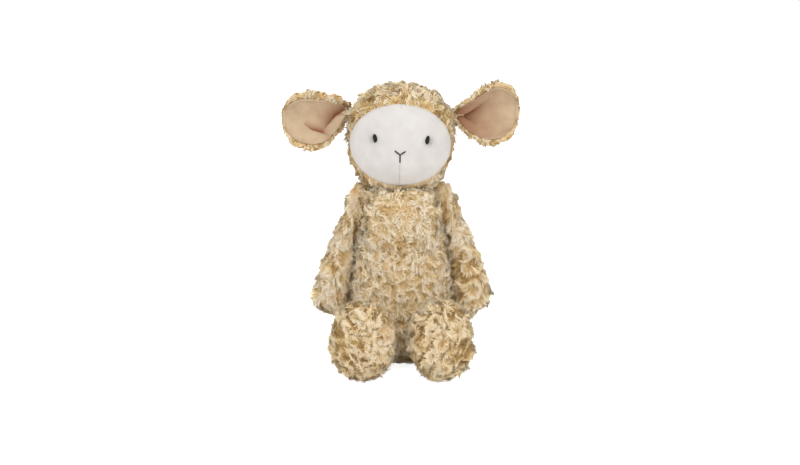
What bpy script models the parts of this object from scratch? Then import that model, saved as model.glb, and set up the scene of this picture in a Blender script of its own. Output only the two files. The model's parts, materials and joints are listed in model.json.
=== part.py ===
"""A seated plush sheep: fleece covers over stuffing, a velour face, and limbs that flop at gathered roots.

Metres, +Z up, the face looks along -Y, and the origin is the middle of the flat seat.
left_ pieces lie on the -X side and right_ pieces on the +X side, as the face is looked at.
"""

from math import asin, atan2, cos, pi, radians, sin, sqrt

import bmesh
import bpy
from mathutils import Matrix, Vector
from mathutils.bvhtree import BVHTree

MM = 0.001
X_WAY, Y_WAY, Z_WAY = Vector((1, 0, 0)), Vector((0, 1, 0)), Vector((0, 0, 1))
SIDES = {"left": -1, "right": 1}

# Sewing and fit
GAP = 0.3 * MM
FLEECE = 3.0 * MM
VELOUR = 1.5 * MM
SEAT_CUT = 0.5 * MM
OVERRUN = 4.0 * MM
THREAD_RADIUS = 1.1 * MM
FINE_THREAD_RADIUS = 0.45 * MM
ROOT_WAIST_SHARE = 0.5
RING_ROOM_SHARE = 0.66

# Torso
TORSO_HEIGHT = 163.4 * MM
TORSO_HALF_WIDTH = 52.5 * MM
TORSO_HALF_DEPTH = 47.0 * MM
TORSO_SHARES = (
    # height, half width, half depth
    (0.012, 0.74, 0.73),
    (0.045, 0.87, 0.86),
    (0.1, 0.95, 0.945),
    (0.19, 1.0, 1.0),
    (0.36, 0.985, 0.98),
    (0.54, 0.94, 0.915),
    (0.71, 0.855, 0.83),
    (0.845, 0.77, 0.73),
    (0.92, 0.72, 0.64),
    (0.965, 0.645, 0.55),
    (0.99, 0.5, 0.42),
)
TORSO_END_SHARE = 0.56
SIDE_SEAM_BACK = 8.0 * MM

# Bean pouch in the seat
POUCH_HALF_WIDTH = 36.0 * MM
POUCH_HALF_DEPTH = 32.0 * MM
POUCH_HEIGHT = 34.0 * MM
POUCH_CLOTH = 1.0 * MM
POUCH_MOUTH_RADIUS = 5.0 * MM

# Stitches that close the back
BACK_SEAM_LOW = 70.0 * MM
BACK_SEAM_HIGH = 118.0 * MM
BACK_STITCH_WIDTH = 3.0 * MM
BACK_STITCHES = 8

# Neck
NECK_RADIUS = 18.0 * MM
NECK_DEPTH = 5.4 * MM
NECK_THREAD_DROP = 6.0 * MM

# Head
HEAD_HALF_WIDTH = 54.0 * MM
HEAD_HALF_DEPTH = 47.0 * MM
HEAD_HALF_HEIGHT = 57.5 * MM
HEAD_CLEARANCE = 3.8 * MM
HEAD_FORWARD = 6.0 * MM
HEAD_ASIDE = -1.5 * MM
HEAD_LEAN = radians(2.0)
HEAD_SQUARENESS = 2.3

# Face
FACE_HALF_WIDTH = 49.6 * MM
FACE_HALF_HEIGHT = 39.7 * MM
FACE_DROP = 4.5 * MM

# Eyes
EYE_APART = 50.4 * MM
EYE_ABOVE_FACE_MIDDLE = 6.3 * MM
EYE_HALF_WIDTH = 2.5 * MM
EYE_HALF_HEIGHT = 4.7 * MM
EYE_DOME = 2.0 * MM
EYE_SHANK_RADIUS = 1.1 * MM
EYE_SHANK_LENGTH = 9.0 * MM
WASHER_RADIUS = 4.5 * MM
WASHER_THICKNESS = 1.2 * MM

# Nose stitches
NOSE_BELOW_FACE_MIDDLE = 8.6 * MM
NOSE_HALF_WIDTH = 5.0 * MM
NOSE_RISE = 3.6 * MM
NOSE_STEM = 7.4 * MM

# Ears
EAR_LENGTH = 64.0 * MM
EAR_HALF_HEIGHT = 28.0 * MM
EAR_CUP = 9.0 * MM
EAR_FLEECE = 3.6 * MM
EAR_ROOT_RADIUS = 6.5 * MM
EAR_KNOT_RADIUS = 2.3 * MM
EAR_CHANNEL_RADIUS = 1.4 * MM
EAR_ABOVE_MIDDLE = 21.5 * MM
EAR_STAND_OFF = 3.2 * MM
EAR_BORDER = 4.0 * MM
EAR_LIFT = {"left": radians(-4.0), "right": radians(5.0)}
EAR_OUTLINE_SHARES = (
    (0.0, 0.16),
    (0.12, 0.34),
    (0.28, 0.74),
    (0.45, 0.97),
    (0.62, 1.0),
    (0.78, 0.88),
    (0.9, 0.62),
    (0.97, 0.34),
    (1.0, 0.12),
)

# Arms
ARM_DROP = 117.0 * MM
ARM_HALF_WIDTH = 18.3 * MM
ARM_ROOT_RADIUS = 12.0 * MM
ARM_SIDE_GAP = 1.4 * MM
ARM_ROOT_EASE = 1.6 * MM
SHOULDER_WIDTH_SHARE = 0.762
SHOULDER_HEIGHT_SHARE = 0.985
SHOULDER_BACK = 3.0 * MM
ARM_FORWARD = 6.0 * MM
ARM_SHARES = (
    # drop below the shoulder, half width, half depth
    (0.955, 0.56, 0.54),
    (0.9, 0.83, 0.8),
    (0.82, 0.98, 0.95),
    (0.72, 0.97, 0.95),
    (0.56, 0.85, 0.87),
    (0.39, 0.745, 0.79),
    (0.235, 0.63, 0.68),
    (0.13, 0.53, 0.58),
)
ARM_END_SHARE = 1.0

# Legs
LEG_LENGTH = 75.0 * MM
FOOT_HALF_WIDTH = 32.5 * MM
FOOT_HALF_HEIGHT = 40.4 * MM
FOOT_ASIDE = 37.2 * MM
LEG_ROOT_RADIUS = 15.0 * MM
HIP_ASIDE_SHARE = 0.571
HIP_FORWARD_SHARE = 0.894
HIP_HEIGHT = 16.0 * MM
SOLE_DEPTH = 12.0 * MM
LEG_SHARES = (
    # way from the hip, half width, half height
    (0.16, 0.385, 0.31),
    (0.25, 0.52, 0.46),
    (0.4, 0.77, 0.75),
    (0.56, 0.95, 0.95),
    (0.72, 1.0, 1.0),
    (0.86, 0.93, 0.935),
    (0.95, 0.72, 0.73),
    (0.985, 0.45, 0.46),
)

# Tail
TAIL_LENGTH = 26.0 * MM
TAIL_HALF_WIDTH = 9.5 * MM
TAIL_HALF_DEPTH = 7.5 * MM
TAIL_ROOT_RADIUS = 6.5 * MM
TAIL_HEIGHT = 46.0 * MM
TAIL_STAND_OFF = 3.0 * MM
TAIL_SWEEP = 9.6 * MM
TAIL_SHARES = (
    (0.96, 0.5),
    (0.85, 0.85),
    (0.65, 1.0),
    (0.42, 0.86),
    (0.2, 0.66),
)

# Counts
BODY_SIDES = 20
LIMB_SIDES = 14
SMALL_SIDES = 10
ROOT_RINGS = 3
STITCH_STEPS = 4
HEAD_RINGS = 12
EAR_STEPS = 9
EAR_ROWS = 5

for old in list(bpy.data.objects):
    bpy.data.objects.remove(old)


def fabric(name, red, green, blue, roughness, metallic=0.0):
    """A Principled material in the piece's own colour."""
    material = bpy.data.materials.new(name)
    material.use_nodes = True
    shader = material.node_tree.nodes["Principled BSDF"]
    shader.inputs["Base Color"].default_value = (red, green, blue, 1)
    shader.inputs["Roughness"].default_value = roughness
    shader.inputs["Metallic"].default_value = metallic
    material.diffuse_color = (red, green, blue, 1)
    return material


def between(low, high, share):
    return low + (high - low) * share


def smooth_between(table, place):
    """The columns of a table at a place along its first column, on one smooth curve through its rows."""
    rows = sorted(table)
    place = min(max(place, rows[0][0]), rows[-1][0])
    after = next(i for i in range(1, len(rows)) if rows[i][0] >= place)
    low, high = rows[after - 1], rows[after]
    span = high[0] - low[0]
    share = (place - low[0]) / span
    ahead, behind = rows[min(after + 1, len(rows) - 1)], rows[max(after - 2, 0)]
    values = []
    for column in range(1, len(low)):
        start = (high[column] - behind[column]) / (high[0] - behind[0]) * span
        end = (ahead[column] - low[column]) / (ahead[0] - low[0]) * span
        rest = 1 - share
        values.append(
            low[column] * (1 + 2 * share) * rest * rest
            + start * share * rest * rest
            + high[column] * share * share * (3 - 2 * share)
            - end * share * share * rest
        )
    return values


def face_out(bm):
    bmesh.ops.recalc_face_normals(bm, faces=bm.faces)
    if bm.calc_volume(signed=True) < 0:
        bmesh.ops.reverse_faces(bm, faces=bm.faces)


def piece_from(name, bm):
    face_out(bm)
    mesh = bpy.data.meshes.new(name)
    bm.to_mesh(mesh)
    bm.free()
    piece = bpy.data.objects.new(name, mesh)
    bpy.context.collection.objects.link(piece)
    return piece


def form(name, rings, sides, across=X_WAY, along=Y_WAY, squareness=2.0, inset=0.0, floor=None):
    """A closed swelling form. Each ring is (centre, reach across, reach along); the end rings are poles.

    inset draws the surface in, and floor cuts it flat at that height.
    """
    bm = bmesh.new()
    last = len(rings) - 1
    bmesh.ops.create_uvsphere(bm, u_segments=sides, v_segments=last, radius=1)
    for vert in bm.verts:
        latitude = asin(max(-1.0, min(1.0, vert.co.z))) / pi + 0.5
        centre, wide, deep = rings[round(latitude * last)]
        turn = atan2(vert.co.y, vert.co.x)
        a, b = cos(turn), sin(turn)
        a = abs(a) ** (2 / squareness) * (1 if a > 0 else -1)
        b = abs(b) ** (2 / squareness) * (1 if b > 0 else -1)
        vert.co = centre + across * (a * wide) + along * (b * deep)
    face_out(bm)
    bm.normal_update()
    for vert, normal in [(vert, vert.normal.copy()) for vert in bm.verts]:
        vert.co -= normal * inset
    if floor is not None:
        geometry = bm.verts[:] + bm.edges[:] + bm.faces[:]
        cut = bmesh.ops.bisect_plane(
            bm, geom=geometry, plane_co=Z_WAY * floor, plane_no=-Z_WAY, clear_outer=True
        )
        rim = [item for item in cut["geom_cut"] if isinstance(item, bmesh.types.BMEdge)]
        bmesh.ops.edgeloop_fill(bm, edges=rim)
    return piece_from(name, bm)


def ball(name, centre, radius, sides=LIMB_SIDES):
    bm = bmesh.new()
    place = Matrix.Translation(centre)
    bmesh.ops.create_uvsphere(bm, u_segments=sides, v_segments=sides // 2, radius=radius, matrix=place)
    return piece_from(name, bm)


def room(name, centre, radius):
    """A cutter that clears a ball of the radius by the gap, even at the middle of its flats."""
    flats = cos(pi / BODY_SIDES) ** 2
    return ball(name, centre, (radius + GAP) / flats, BODY_SIDES)


def rod(name, start, end, radius, sides=SMALL_SIDES):
    """A plain round rod from start to end."""
    bm = bmesh.new()
    way = end - start
    turn = way.to_track_quat("Z", "Y").to_matrix().to_4x4()
    place = Matrix.Translation((start + end) / 2) @ turn
    bmesh.ops.create_cone(
        bm, cap_ends=True, segments=sides, radius1=radius, radius2=radius, depth=way.length, matrix=place
    )
    return piece_from(name, bm)


def box(name, low, high):
    bm = bmesh.new()
    size = [b - a for a, b in zip(low, high)]
    place = Matrix.Translation((low + high) / 2) @ Matrix.Diagonal((*size, 1))
    bmesh.ops.create_cube(bm, size=1, matrix=place)
    return piece_from(name, bm)


def ring_of_thread(name, centre, way, reach, radius, sides=LIMB_SIDES):
    """A closed ring of gathering thread round a way, reach from its centre to the middle of the thread."""
    bm = bmesh.new()
    turn = way.to_track_quat("Z", "Y").to_matrix().to_4x4()
    section = Matrix.Translation(centre) @ turn @ Matrix.Translation(X_WAY * reach) @ Matrix.Rotation(pi / 2, 4, "X")
    made = bmesh.ops.create_circle(bm, cap_ends=False, segments=6, radius=radius, matrix=section)
    edges = list({edge for vert in made["verts"] for edge in vert.link_edges})
    bmesh.ops.spin(
        bm, geom=made["verts"] + edges, cent=centre, axis=turn @ Z_WAY, angle=2 * pi, steps=sides, use_merge=True
    )
    bmesh.ops.remove_doubles(bm, verts=bm.verts, dist=GAP / 100)
    return piece_from(name, bm)


def strand(name, points, radius):
    """One sewn stitch: a thread along the points, with closed ends."""
    curve = bpy.data.curves.new(name, "CURVE")
    curve.dimensions = "3D"
    curve.bevel_depth = radius
    curve.bevel_resolution = 1
    curve.use_fill_caps = True
    line = curve.splines.new("POLY")
    line.points.add(len(points) - 1)
    for spot, point in zip(line.points, points):
        spot.co = (*point, 1)
    stitch = bpy.data.objects.new(name, curve)
    bpy.context.collection.objects.link(stitch)
    return stitch


def settle(piece):
    """Makes the piece's modifiers part of its mesh."""
    bpy.context.view_layer.update()
    seen = piece.evaluated_get(bpy.context.evaluated_depsgraph_get())
    mesh = bpy.data.meshes.new_from_object(seen)
    piece.modifiers.clear()
    piece.data = mesh


def combine(piece, others, operation):
    """Cuts the others away from the piece, or joins them to it."""
    for other in others:
        step = piece.modifiers.new(operation.lower(), "BOOLEAN")
        step.operation = operation
        step.solver = "EXACT"
        step.object = other
    settle(piece)


def discard(*tools):
    for tool in tools:
        bpy.data.objects.remove(tool)


def shell(name, cutters, thickness, **shape):
    """A cover: the form less the same form drawn in by the fabric's thickness, less the cutters."""
    floor = shape.pop("floor", None)
    outer = shape.pop("inset", 0.0)
    cover = form(name, inset=outer, floor=floor, **shape)
    lifted = None if floor is None else floor + thickness
    hollow = form(name + "_hollow", inset=outer + thickness, floor=lifted, **shape)
    combine(cover, [hollow, *cutters], "DIFFERENCE")
    discard(hollow)
    return cover


# The torso, from its seat to the shoulders


def torso_half(height, column):
    """Half the torso's width (column 0) or depth (column 1) at a height."""
    size = (TORSO_HALF_WIDTH, TORSO_HALF_DEPTH)[column]
    return size * smooth_between(TORSO_SHARES, height / TORSO_HEIGHT)[column]


def torso_rings():
    rings = [(Z_WAY * share * TORSO_HEIGHT, wide * TORSO_HALF_WIDTH, deep * TORSO_HALF_DEPTH)
             for share, wide, deep in TORSO_SHARES]
    bottom = (-Z_WAY * SEAT_CUT, rings[0][1] * TORSO_END_SHARE, rings[0][2] * TORSO_END_SHARE)
    return [(-Z_WAY * SEAT_CUT, 0, 0), bottom, *rings, (Z_WAY * TORSO_HEIGHT, 0, 0)]


def root_rings(centre, radius, way):
    """The round end of a limb, from its tip to its girth; way points from the limb to its round end."""
    turns = [pi / 2 * step / ROOT_RINGS for step in range(ROOT_RINGS + 1)]
    return [(centre + way * radius * cos(turn), radius * sin(turn), radius * sin(turn)) for turn in turns]


neck = Z_WAY * (TORSO_HEIGHT - NECK_DEPTH + NECK_RADIUS)
head_middle = Vector(
    (HEAD_ASIDE, -HEAD_FORWARD, TORSO_HEIGHT + HEAD_CLEARANCE + HEAD_HALF_HEIGHT)
)
lean = Matrix.Translation(head_middle) @ Matrix.Rotation(HEAD_LEAN, 4, "Y")


def shoulder(side):
    return Vector((
        side * TORSO_HALF_WIDTH * SHOULDER_WIDTH_SHARE,
        SHOULDER_BACK,
        TORSO_HEIGHT * SHOULDER_HEIGHT_SHARE,
    ))


def hip(side):
    return Vector((
        side * TORSO_HALF_WIDTH * HIP_ASIDE_SHARE,
        -TORSO_HALF_DEPTH * HIP_FORWARD_SHARE,
        HIP_HEIGHT,
    ))


tail_root = Vector((0, torso_half(TAIL_HEIGHT, 1) + TAIL_STAND_OFF, TAIL_HEIGHT))
torso_shape = {"rings": torso_rings(), "sides": BODY_SIDES}
sockets = [room("neck_socket", neck, NECK_RADIUS), room("tail_socket", tail_root, TAIL_ROOT_RADIUS)]
for side in SIDES.values():
    sockets.append(room("shoulder_socket", shoulder(side), ARM_ROOT_RADIUS))
    sockets.append(room("hip_socket", hip(side), LEG_ROOT_RADIUS))

reach = TORSO_HEIGHT
seam_front, seam_back = SIDE_SEAM_BACK - GAP / 2, SIDE_SEAM_BACK + GAP / 2
back_half = box("back_half", Vector((-reach, seam_front, -reach)), Vector((reach, reach, 2 * reach)))
front_half = box("front_half", Vector((-reach, -reach, -reach)), Vector((reach, seam_back, 2 * reach)))
fleece = fabric("curly_fleece", 0.76, 0.62, 0.4, 0.95)
body_front = shell("body_front", [*sockets, back_half], FLEECE, floor=0.0, **torso_shape)
body_back = shell("body_back", [*sockets, front_half], FLEECE, floor=0.0, **torso_shape)
discard(back_half, front_half)

filling = fabric("polyester_fibre", 0.86, 0.85, 0.82, 1.0)
body_stuffing = form("body_stuffing", inset=FLEECE + GAP, floor=FLEECE + GAP, **torso_shape)


def pouch(name, inset):
    """The bean pouch's form, flat below, standing on the seat's fleece."""
    base = FLEECE + GAP + inset
    rings = []
    for step in range(ROOT_RINGS * 2 + 1):
        turn = pi * step / (ROOT_RINGS * 2)
        rise = POUCH_HEIGHT * (1 - cos(turn)) / 2
        rings.append((Z_WAY * (FLEECE + GAP + rise), POUCH_HALF_WIDTH * sin(turn), POUCH_HALF_DEPTH * sin(turn)))
    low = rings[1]
    rings[1] = (rings[0][0] - Z_WAY * SEAT_CUT, low[1], low[2])
    rings[0] = (rings[0][0] - Z_WAY * SEAT_CUT * 2, 0, 0)
    return form(name, rings, LIMB_SIDES, inset=inset, floor=base)


pouch_room = pouch("pouch_room", -GAP)
combine(body_stuffing, [*sockets, pouch_room], "DIFFERENCE")
discard(pouch_room)
bean_pouch = pouch("bean_pouch", 0.0)
pouch_hollow = pouch("pouch_hollow", POUCH_CLOTH)
pouch_top = Z_WAY * (FLEECE + GAP + POUCH_HEIGHT)
pouch_mouth = rod("pouch_mouth", pouch_top - Z_WAY * POUCH_MOUTH_RADIUS, pouch_top + Z_WAY * OVERRUN,
                  POUCH_MOUTH_RADIUS)
combine(bean_pouch, [pouch_hollow, pouch_mouth], "DIFFERENCE")
discard(pouch_hollow, pouch_mouth)
seat_beans = pouch("seat_beans", POUCH_CLOTH + GAP)


def back_stitch_points():
    """Where the closing thread crosses the back seam, to and fro."""
    points = []
    for step in range(2 * BACK_STITCHES + 1):
        height = between(BACK_SEAM_LOW, BACK_SEAM_HIGH, step / (2 * BACK_STITCHES))
        aside = BACK_STITCH_WIDTH / 2 * (1 if step % 2 else -1)
        points.append(Vector((aside, torso_half(height, 1) + GAP + FINE_THREAD_RADIUS, height)))
    return points


thread = fabric("beige_thread", 0.66, 0.53, 0.34, 0.8)
back_stitches = strand("back_closing_stitches", back_stitch_points(), FINE_THREAD_RADIUS)


# The neck: a firm wad of stuffing, and the thread that draws the head's opening in round it

neck_stuffing = ball("neck_stuffing", neck, NECK_RADIUS, BODY_SIDES)
thread_reach = sqrt((NECK_RADIUS + GAP + THREAD_RADIUS) ** 2 - NECK_THREAD_DROP**2)
neck_thread = ring_of_thread(
    "neck_thread", neck - Z_WAY * NECK_THREAD_DROP, Z_WAY, thread_reach, THREAD_RADIUS, BODY_SIDES
)
thread_room = rod(
    "thread_room",
    Z_WAY * (TORSO_HEIGHT - OVERRUN),
    neck - Z_WAY * (NECK_THREAD_DROP - THREAD_RADIUS - GAP),
    thread_reach + THREAD_RADIUS + GAP,
    BODY_SIDES,
)


# The head, upright round its own middle, then leaned a little


def head_rings():
    rings = []
    for step in range(HEAD_RINGS + 1):
        turn = pi * step / HEAD_RINGS - pi / 2
        rise = abs(sin(turn)) ** (2 / HEAD_SQUARENESS) * (1 if turn > 0 else -1)
        girth = max(cos(turn), 0.0) ** (2 / HEAD_SQUARENESS)
        rings.append((Z_WAY * HEAD_HALF_HEIGHT * rise, HEAD_HALF_WIDTH * girth, HEAD_HALF_DEPTH * girth))
    return rings


def head_form(name, inset):
    piece = form(name, head_rings(), BODY_SIDES, inset=inset)
    piece.data.transform(lean)
    return piece


def oval_window(name, margin, start, end):
    """The face's oval as a bar along Y from start to end, about the head's middle."""
    bm = bmesh.new()
    bmesh.ops.create_cone(
        bm, cap_ends=True, segments=2 * BODY_SIDES, radius1=1, radius2=1, depth=1,
        matrix=Matrix.Translation((0, (start + end) / 2, -FACE_DROP))
        @ Matrix.Diagonal((FACE_HALF_WIDTH + margin, end - start, FACE_HALF_HEIGHT + margin, 1))
        @ Matrix.Rotation(pi / 2, 4, "X"),
    )
    window = piece_from(name, bm)
    window.data.transform(lean)
    return window


def ear_root(side):
    share = EAR_ABOVE_MIDDLE / HEAD_HALF_HEIGHT
    girth = (1 - share**HEAD_SQUARENESS) ** (1 / HEAD_SQUARENESS)
    return lean @ Vector((side * (HEAD_HALF_WIDTH * girth + EAR_STAND_OFF), 0, EAR_ABOVE_MIDDLE))


front = -HEAD_HALF_DEPTH - OVERRUN
window = oval_window("window", GAP, front, 0)
neck_socket = sockets[0]
ear_sockets = [room("ear_socket", ear_root(side), EAR_ROOT_RADIUS) for side in SIDES.values()]
head_cover = head_form("head_cover", 0.0)
head_hollow = head_form("head_hollow", FLEECE)
combine(head_cover, [head_hollow, window, neck_socket, thread_room, *ear_sockets], "DIFFERENCE")
discard(window)

velour = fabric("white_velour", 0.84, 0.83, 0.81, 0.9)
pad = oval_window("pad", 0, front, -GAP)
face_skin = head_form("face_skin", FLEECE - VELOUR)
combine(face_skin, [head_hollow], "DIFFERENCE")
combine(face_skin, [pad], "INTERSECT")
skin_tree = BVHTree.FromObject(face_skin, bpy.context.evaluated_depsgraph_get())
discard(pad, head_hollow)


def on_face(aside, up, lift=0.0):
    """The point of the face's skin at a place about the face's middle, and the way the skin faces there."""
    start = lean @ Vector((aside, 2 * front, up - FACE_DROP))
    way = lean.to_3x3() @ Y_WAY
    point, normal = skin_tree.ray_cast(start, way)[:2]
    smooth = lean.to_3x3().inverted() @ (point - head_middle)
    half = (HEAD_HALF_WIDTH, HEAD_HALF_DEPTH, HEAD_HALF_HEIGHT)
    slope = Vector([place / size**2 for place, size in zip(smooth, half)])
    normal = (lean.to_3x3() @ slope).normalized()
    return point + normal * lift, normal


# Eyes: a black dome with a shank through the face, held by a washer behind it

black_plastic = fabric("black_gloss_plastic", 0.006, 0.005, 0.005, 0.08)
clear_plastic = fabric("white_washer_plastic", 0.7, 0.7, 0.68, 0.4)
eyes, washers, eye_rooms, shank_rooms = {}, {}, [], []
for word, side in SIDES.items():
    seat, facing = on_face(side * EYE_APART / 2, EYE_ABOVE_FACE_MIDDLE, GAP)
    turn = facing.to_track_quat("Y", "Z").to_matrix().to_4x4()
    bm = bmesh.new()
    bmesh.ops.create_uvsphere(bm, u_segments=LIMB_SIDES, v_segments=SMALL_SIDES, radius=1,
                              matrix=Matrix.Diagonal((EYE_HALF_WIDTH, EYE_DOME, EYE_HALF_HEIGHT, 1)))
    halves = bmesh.ops.bisect_plane(bm, geom=bm.verts[:] + bm.edges[:] + bm.faces[:],
                                    plane_co=(0, 0, 0), plane_no=-Y_WAY, clear_outer=True)
    rim = [item for item in halves["geom_cut"] if isinstance(item, bmesh.types.BMEdge)]
    bmesh.ops.edgeloop_fill(bm, edges=rim)
    bmesh.ops.transform(bm, matrix=Matrix.Translation(seat) @ turn, verts=bm.verts)
    eye = piece_from(word + "_eye", bm)
    shank_end = seat - facing * EYE_SHANK_LENGTH
    shank = rod("shank", seat + facing * EYE_DOME / 2, shank_end, EYE_SHANK_RADIUS)
    combine(eye, [shank], "UNION")
    eyes[word] = eye
    shank_rooms.append(rod("shank_room", seat + facing * OVERRUN, shank_end - facing * GAP,
                           EYE_SHANK_RADIUS + GAP))
    washer_front = seat - facing * (GAP + VELOUR + GAP)
    washer_back = washer_front - facing * WASHER_THICKNESS
    washer = rod(word + "_eye_washer", washer_front, washer_back, WASHER_RADIUS, LIMB_SIDES)
    combine(washer, [shank_rooms[-1]], "DIFFERENCE")
    washers[word] = washer
    eye_rooms.append(rod("washer_room", washer_front + facing * OVERRUN, washer_back - facing * GAP,
                         WASHER_RADIUS + GAP, LIMB_SIDES))
    discard(shank)

faces = {}
for (word, side), shank_room in zip(SIDES.items(), shank_rooms):
    ends = sorted((side * GAP / 2, side * 2 * HEAD_HALF_WIDTH))
    near_half = box("near_half", Vector((ends[0], 2 * front, 2 * front)), Vector((ends[1], 0, -2 * front)))
    near_half.data.transform(lean)
    half = face_skin.copy()
    half.data = face_skin.data.copy()
    half.name = "face_panel_" + word
    bpy.context.collection.objects.link(half)
    combine(half, [near_half], "INTERSECT")
    combine(half, [shank_room], "DIFFERENCE")
    faces[word] = half
    discard(near_half)

head_stuffing = head_form("head_stuffing", FLEECE + GAP)
combine(head_stuffing, [neck_socket, thread_room, *ear_sockets, *eye_rooms, *shank_rooms], "DIFFERENCE")
discard(face_skin, thread_room, *ear_sockets, *eye_rooms, *shank_rooms)


# The nose: three straight stitches that meet in a Y

black_thread = fabric("black_thread", 0.015, 0.014, 0.014, 0.6)
above = GAP + FINE_THREAD_RADIUS
stitch_room = 3 * FINE_THREAD_RADIUS
stitch_ends = {
    "left": (-NOSE_HALF_WIDTH, NOSE_RISE, -stitch_room, stitch_room / 2),
    "right": (NOSE_HALF_WIDTH, NOSE_RISE, stitch_room, stitch_room / 2),
    "stem": (0, -NOSE_STEM, 0, -stitch_room / 2),
}
nose = {}
for word, (far_aside, far_up, near_aside, near_up) in stitch_ends.items():
    line = []
    for step in range(STITCH_STEPS + 1):
        aside = between(near_aside, far_aside, step / STITCH_STEPS)
        up = between(near_up, far_up, step / STITCH_STEPS) - NOSE_BELOW_FACE_MIDDLE
        line.append(on_face(aside, up, above)[0])
    nose[word] = strand("nose_stitch_" + word, line, FINE_THREAD_RADIUS)


# Ears: a fleece back and a velour lining, cupped forward, pinched at a round root


def ear_sheet(name, side, border, offset, thickness, start):
    """One layer of an ear, about its root with +X outward; start is where it begins along the ear."""
    bm = bmesh.new()
    bmesh.ops.create_grid(bm, x_segments=EAR_STEPS, y_segments=EAR_ROWS, size=1)
    for vert in bm.verts:
        out = (vert.co.x + 1) / 2
        rise = vert.co.y
        share = smooth_between(EAR_OUTLINE_SHARES, out)[0]
        half = max(share * EAR_HALF_HEIGHT - border, thickness)
        along = between(start, EAR_LENGTH - border, out)
        cup = EAR_CUP * rise * rise * share
        vert.co = (along, offset - cup, rise * half)
    bm.normal_update()
    bmesh.ops.solidify(bm, geom=bm.faces[:], thickness=thickness)
    mirror = Matrix.Diagonal((side, 1, 1, 1))
    turn = Matrix.Rotation(-side * EAR_LIFT["right" if side > 0 else "left"], 4, "Y")
    bmesh.ops.transform(bm, matrix=Matrix.Translation(ear_root(side)) @ turn @ mirror, verts=bm.verts)
    return piece_from(name, bm)


lining = fabric("peach_velour", 0.69, 0.45, 0.27, 0.9)
ear_backs, ear_linings, ear_knots = {}, {}, {}
for word, side in SIDES.items():
    root = ear_root(side)
    back = ear_sheet(word + "_ear_back", side, 0, -EAR_FLEECE / 2, EAR_FLEECE, EAR_ROOT_RADIUS / 3)
    bulb = ball("bulb", root, EAR_ROOT_RADIUS)
    combine(back, [bulb], "UNION")
    knot_room = room("knot_room", root, EAR_KNOT_RADIUS)
    channel = rod("channel", root, root - X_WAY * side * (EAR_ROOT_RADIUS + OVERRUN), EAR_CHANNEL_RADIUS)
    combine(back, [knot_room, channel], "DIFFERENCE")
    ear_backs[word] = back
    front_sheet = ear_sheet(word + "_ear_lining", side, EAR_BORDER, -EAR_FLEECE / 2 - GAP - VELOUR, VELOUR,
                            EAR_ROOT_RADIUS + GAP)
    ear_linings[word] = front_sheet
    ear_knots[word] = ball(word + "_ear_knot", root, EAR_KNOT_RADIUS, SMALL_SIDES)
    discard(bulb, knot_room, channel)


# Arms: a sleeve that hangs beside the torso from a round slack root


def arm_rings(side):
    top = shoulder(side)
    rings = []
    for drop, wide, deep in sorted(ARM_SHARES):
        height = top.z - drop * ARM_DROP
        half = wide * ARM_HALF_WIDTH
        aside = torso_half(height, 0) + ARM_SIDE_GAP + half
        rings.append((Vector((side * aside, top.y - drop * ARM_FORWARD, height)), half, deep * ARM_HALF_WIDTH))
    rings.reverse()
    tip = Vector((rings[0][0].x, rings[0][0].y, top.z - ARM_END_SHARE * ARM_DROP))
    root = root_rings(top, ARM_ROOT_RADIUS, Z_WAY)
    lower = ROOT_WAIST_SHARE * ARM_ROOT_RADIUS
    girth = sqrt(ARM_ROOT_RADIUS**2 - lower**2)
    waist = top + X_WAY * side * ARM_ROOT_EASE - Z_WAY * lower
    return [(tip, 0, 0), *rings, (waist, girth - ARM_ROOT_EASE, girth), *reversed(root)]


def seam_ring(name, root, room_radius):
    """The ring of gathering thread inside a limb's slack root, on the side towards the torso."""
    depth = room_radius / 2
    far = room_radius - THREAD_RADIUS
    centre = root - X_WAY * (1 if root.x > 0 else -1) * depth
    return ring_of_thread(name, centre, X_WAY, sqrt(far**2 - depth**2), THREAD_RADIUS)


arm_covers, arm_fillings, shoulder_rings = {}, {}, {}
for word, side in SIDES.items():
    root = shoulder(side)
    shape = {"rings": arm_rings(side), "sides": LIMB_SIDES}
    mouth = rod("mouth", root, root - X_WAY * side * (ARM_ROOT_RADIUS + OVERRUN), ARM_ROOT_RADIUS / 2)
    slack = ball("slack", root, ARM_ROOT_RADIUS)
    ring_radius = ARM_ROOT_RADIUS * RING_ROOM_SHARE
    ring_room = room("ring_room", root, ring_radius)
    arm_covers[word] = shell(word + "_arm_cover", [mouth, ring_room], FLEECE, **shape)
    arm_fillings[word] = form(word + "_arm_stuffing", inset=FLEECE + GAP, **shape)
    combine(arm_fillings[word], [slack], "DIFFERENCE")
    shoulder_rings[word] = seam_ring(word + "_shoulder_ring", root, ring_radius)
    discard(mouth, slack, ring_room)


# Legs: a sleeve that grows forward from the hip into a tall oval foot, with a sole sewn in


def leg_rings(side):
    start = hip(side)
    rings = []
    for way, wide, tall in LEG_SHARES:
        half, rise = wide * FOOT_HALF_WIDTH, tall * FOOT_HALF_HEIGHT
        grown = min(1, (tall - LEG_SHARES[0][2]) / (1 - LEG_SHARES[0][2]))
        aside = between(abs(start.x), FOOT_ASIDE, grown)
        height = between(start.z, FOOT_HALF_HEIGHT - SEAT_CUT, grown)
        if way > LEG_SHARES[4][0]:
            aside, height = FOOT_ASIDE, FOOT_HALF_HEIGHT - SEAT_CUT
        rings.append((Vector((side * aside, start.y - way * LEG_LENGTH, height)), half, rise))
    tip = Vector((side * FOOT_ASIDE, start.y - LEG_LENGTH, FOOT_HALF_HEIGHT - SEAT_CUT))
    root = root_rings(start, LEG_ROOT_RADIUS, Y_WAY)
    lower = ROOT_WAIST_SHARE * LEG_ROOT_RADIUS
    girth = sqrt(LEG_ROOT_RADIUS**2 - lower**2)
    return [*root, (start - Y_WAY * lower, girth, girth), *rings, (tip, 0, 0)]


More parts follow.
